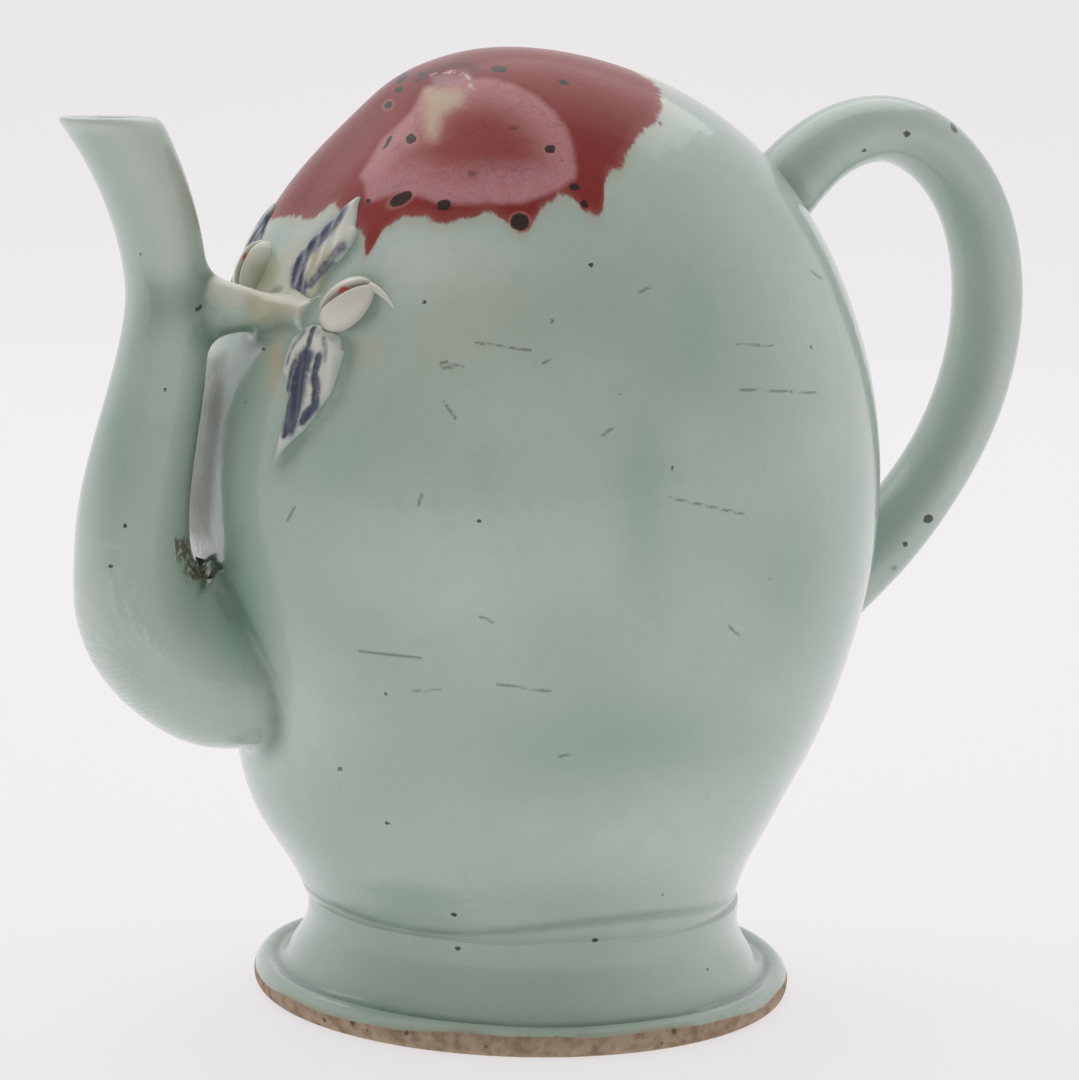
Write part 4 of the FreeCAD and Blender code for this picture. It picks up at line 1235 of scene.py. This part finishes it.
def porcelain_material():
    m = Maker("bare_porcelain")
    cloud = m.noise(120.0, 4.0)
    colour = m.mix(m.step(cloud, 0.35, 0.7), linear(190, 172, 150), linear(164, 140, 114))
    colour = m.over(colour, (90, 66, 50), m.specks(400.0, 0.2, 0.2), 0.6)
    m.plug(m.shader.inputs["Base Color"], colour)
    m.shader.inputs["Roughness"].default_value = 0.8
    m.dent(m.noise(900.0, 3.0), 0.4, 0.0003, "Normal")
    return m.material


def paper_material():
    m = Maker("paper")
    colour = m.mix(m.noise(3.0, 1.0), linear(249, 246, 248), linear(251, 248, 250))
    m.plug(m.shader.inputs["Base Color"], m.mix(0.72, colour, linear(0, 0, 0)))
    m.plug(m.shader.inputs["Emission Color"], colour)
    m.shader.inputs["Emission Strength"].default_value = 0.68
    m.shader.inputs["Roughness"].default_value = 0.95
    m.shader.inputs["Specular IOR Level"].default_value = 0.1
    return m.material


glaze = glaze_material()
porcelain = porcelain_material()
for piece in glazed:
    piece.data.materials.append(glaze)
for name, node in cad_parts.items():
    node.data.materials.clear()
    node.data.materials.append(porcelain if name in ("base_plate", "filler_tube") else glaze)


# Stage: one sheet of paper that sweeps up behind the pot, and soft light from all around
def sweep():
    reach, bend_radius, top = 1.6, 0.6, 2.4
    line = [(-2.0, 0.0), (reach - bend_radius, 0.0)]
    for step in range(1, 25):
        angle = math.pi / 2.0 * step / 24
        depth = reach - bend_radius + bend_radius * math.sin(angle)
        line.append((depth, bend_radius * (1.0 - math.cos(angle))))
    line.append((reach, top))
    corners = []
    for depth, height in line:
        for side in (-2.2, 2.2):
            away = Vector((math.sin(AZIMUTH), math.cos(AZIMUTH), 0.0)) * depth
            across = Vector((math.cos(AZIMUTH), -math.sin(AZIMUTH), 0.0)) * side
            corners.append(tuple((away + across + Vector((0.0, 0.0, height))) * 1000.0))
    paper = build_mesh("paper_sweep", np.array(corners), grid_faces(len(line), 2))
    paper.data.materials.append(paper_material())


sweep()


def aim(made, place, at):
    made.location = place
    made.rotation_euler = (Vector(at) - Vector(place)).to_track_quat("-Z", "Y").to_euler()


def softbox(name, place, width, height, power):
    data = bpy.data.lights.new(name, "AREA")
    data.shape = "RECTANGLE"
    data.size = width
    data.size_y = height
    data.energy = power
    made = bpy.data.objects.new(name, data)
    bpy.context.scene.collection.objects.link(made)
    aim(made, place, (0.0, 0.0, 0.08))


softbox("back_box", (0.15, 0.55, 1.1), 1.6, 1.0, 4.0)

DISTANCE = 594.043
camera_data = bpy.data.cameras.new("camera")
camera = bpy.data.objects.new("camera", camera_data)
bpy.context.scene.collection.objects.link(camera)
camera_data.lens = 119.4
camera_data.sensor_fit = "AUTO"
camera_data.sensor_width = 36.0
camera.location = Vector((TARGET + view_back * DISTANCE) * MM)
turn = Vector(view_back).to_track_quat("Z", "Y").to_matrix().to_4x4()
camera.matrix_world = Matrix.Translation(camera.location) @ turn @ Matrix.Rotation(ROLL, 4, "Z")
bpy.context.scene.camera = camera


def tent():
    """Light from all around, dimmer from where the camera stands."""
    world = bpy.data.worlds.new("tent")
    bpy.context.scene.world = world
    world.use_nodes = True
    nodes = world.node_tree.nodes
    links = world.node_tree.links
    direction = nodes.new("ShaderNodeTexCoord").outputs["Generated"]
    facing = nodes.new("ShaderNodeVectorMath")
    facing.operation = "DOT_PRODUCT"
    links.new(direction, facing.inputs[0])
    facing.inputs[1].default_value = tuple(view_back)
    dim = nodes.new("ShaderNodeMapRange")
    links.new(facing.outputs["Value"], dim.inputs["Value"])
    dim.inputs["From Min"].default_value = -0.2
    dim.inputs["From Max"].default_value = 0.95
    dim.inputs["To Min"].default_value = 0.9
    dim.inputs["To Max"].default_value = 0.3
    links.new(dim.outputs["Result"], nodes["Background"].inputs["Strength"])
    nodes["Background"].inputs["Color"].default_value = (1.0, 0.99, 1.0, 1.0)


tent()
bpy.context.scene.view_settings.view_transform = "Standard"
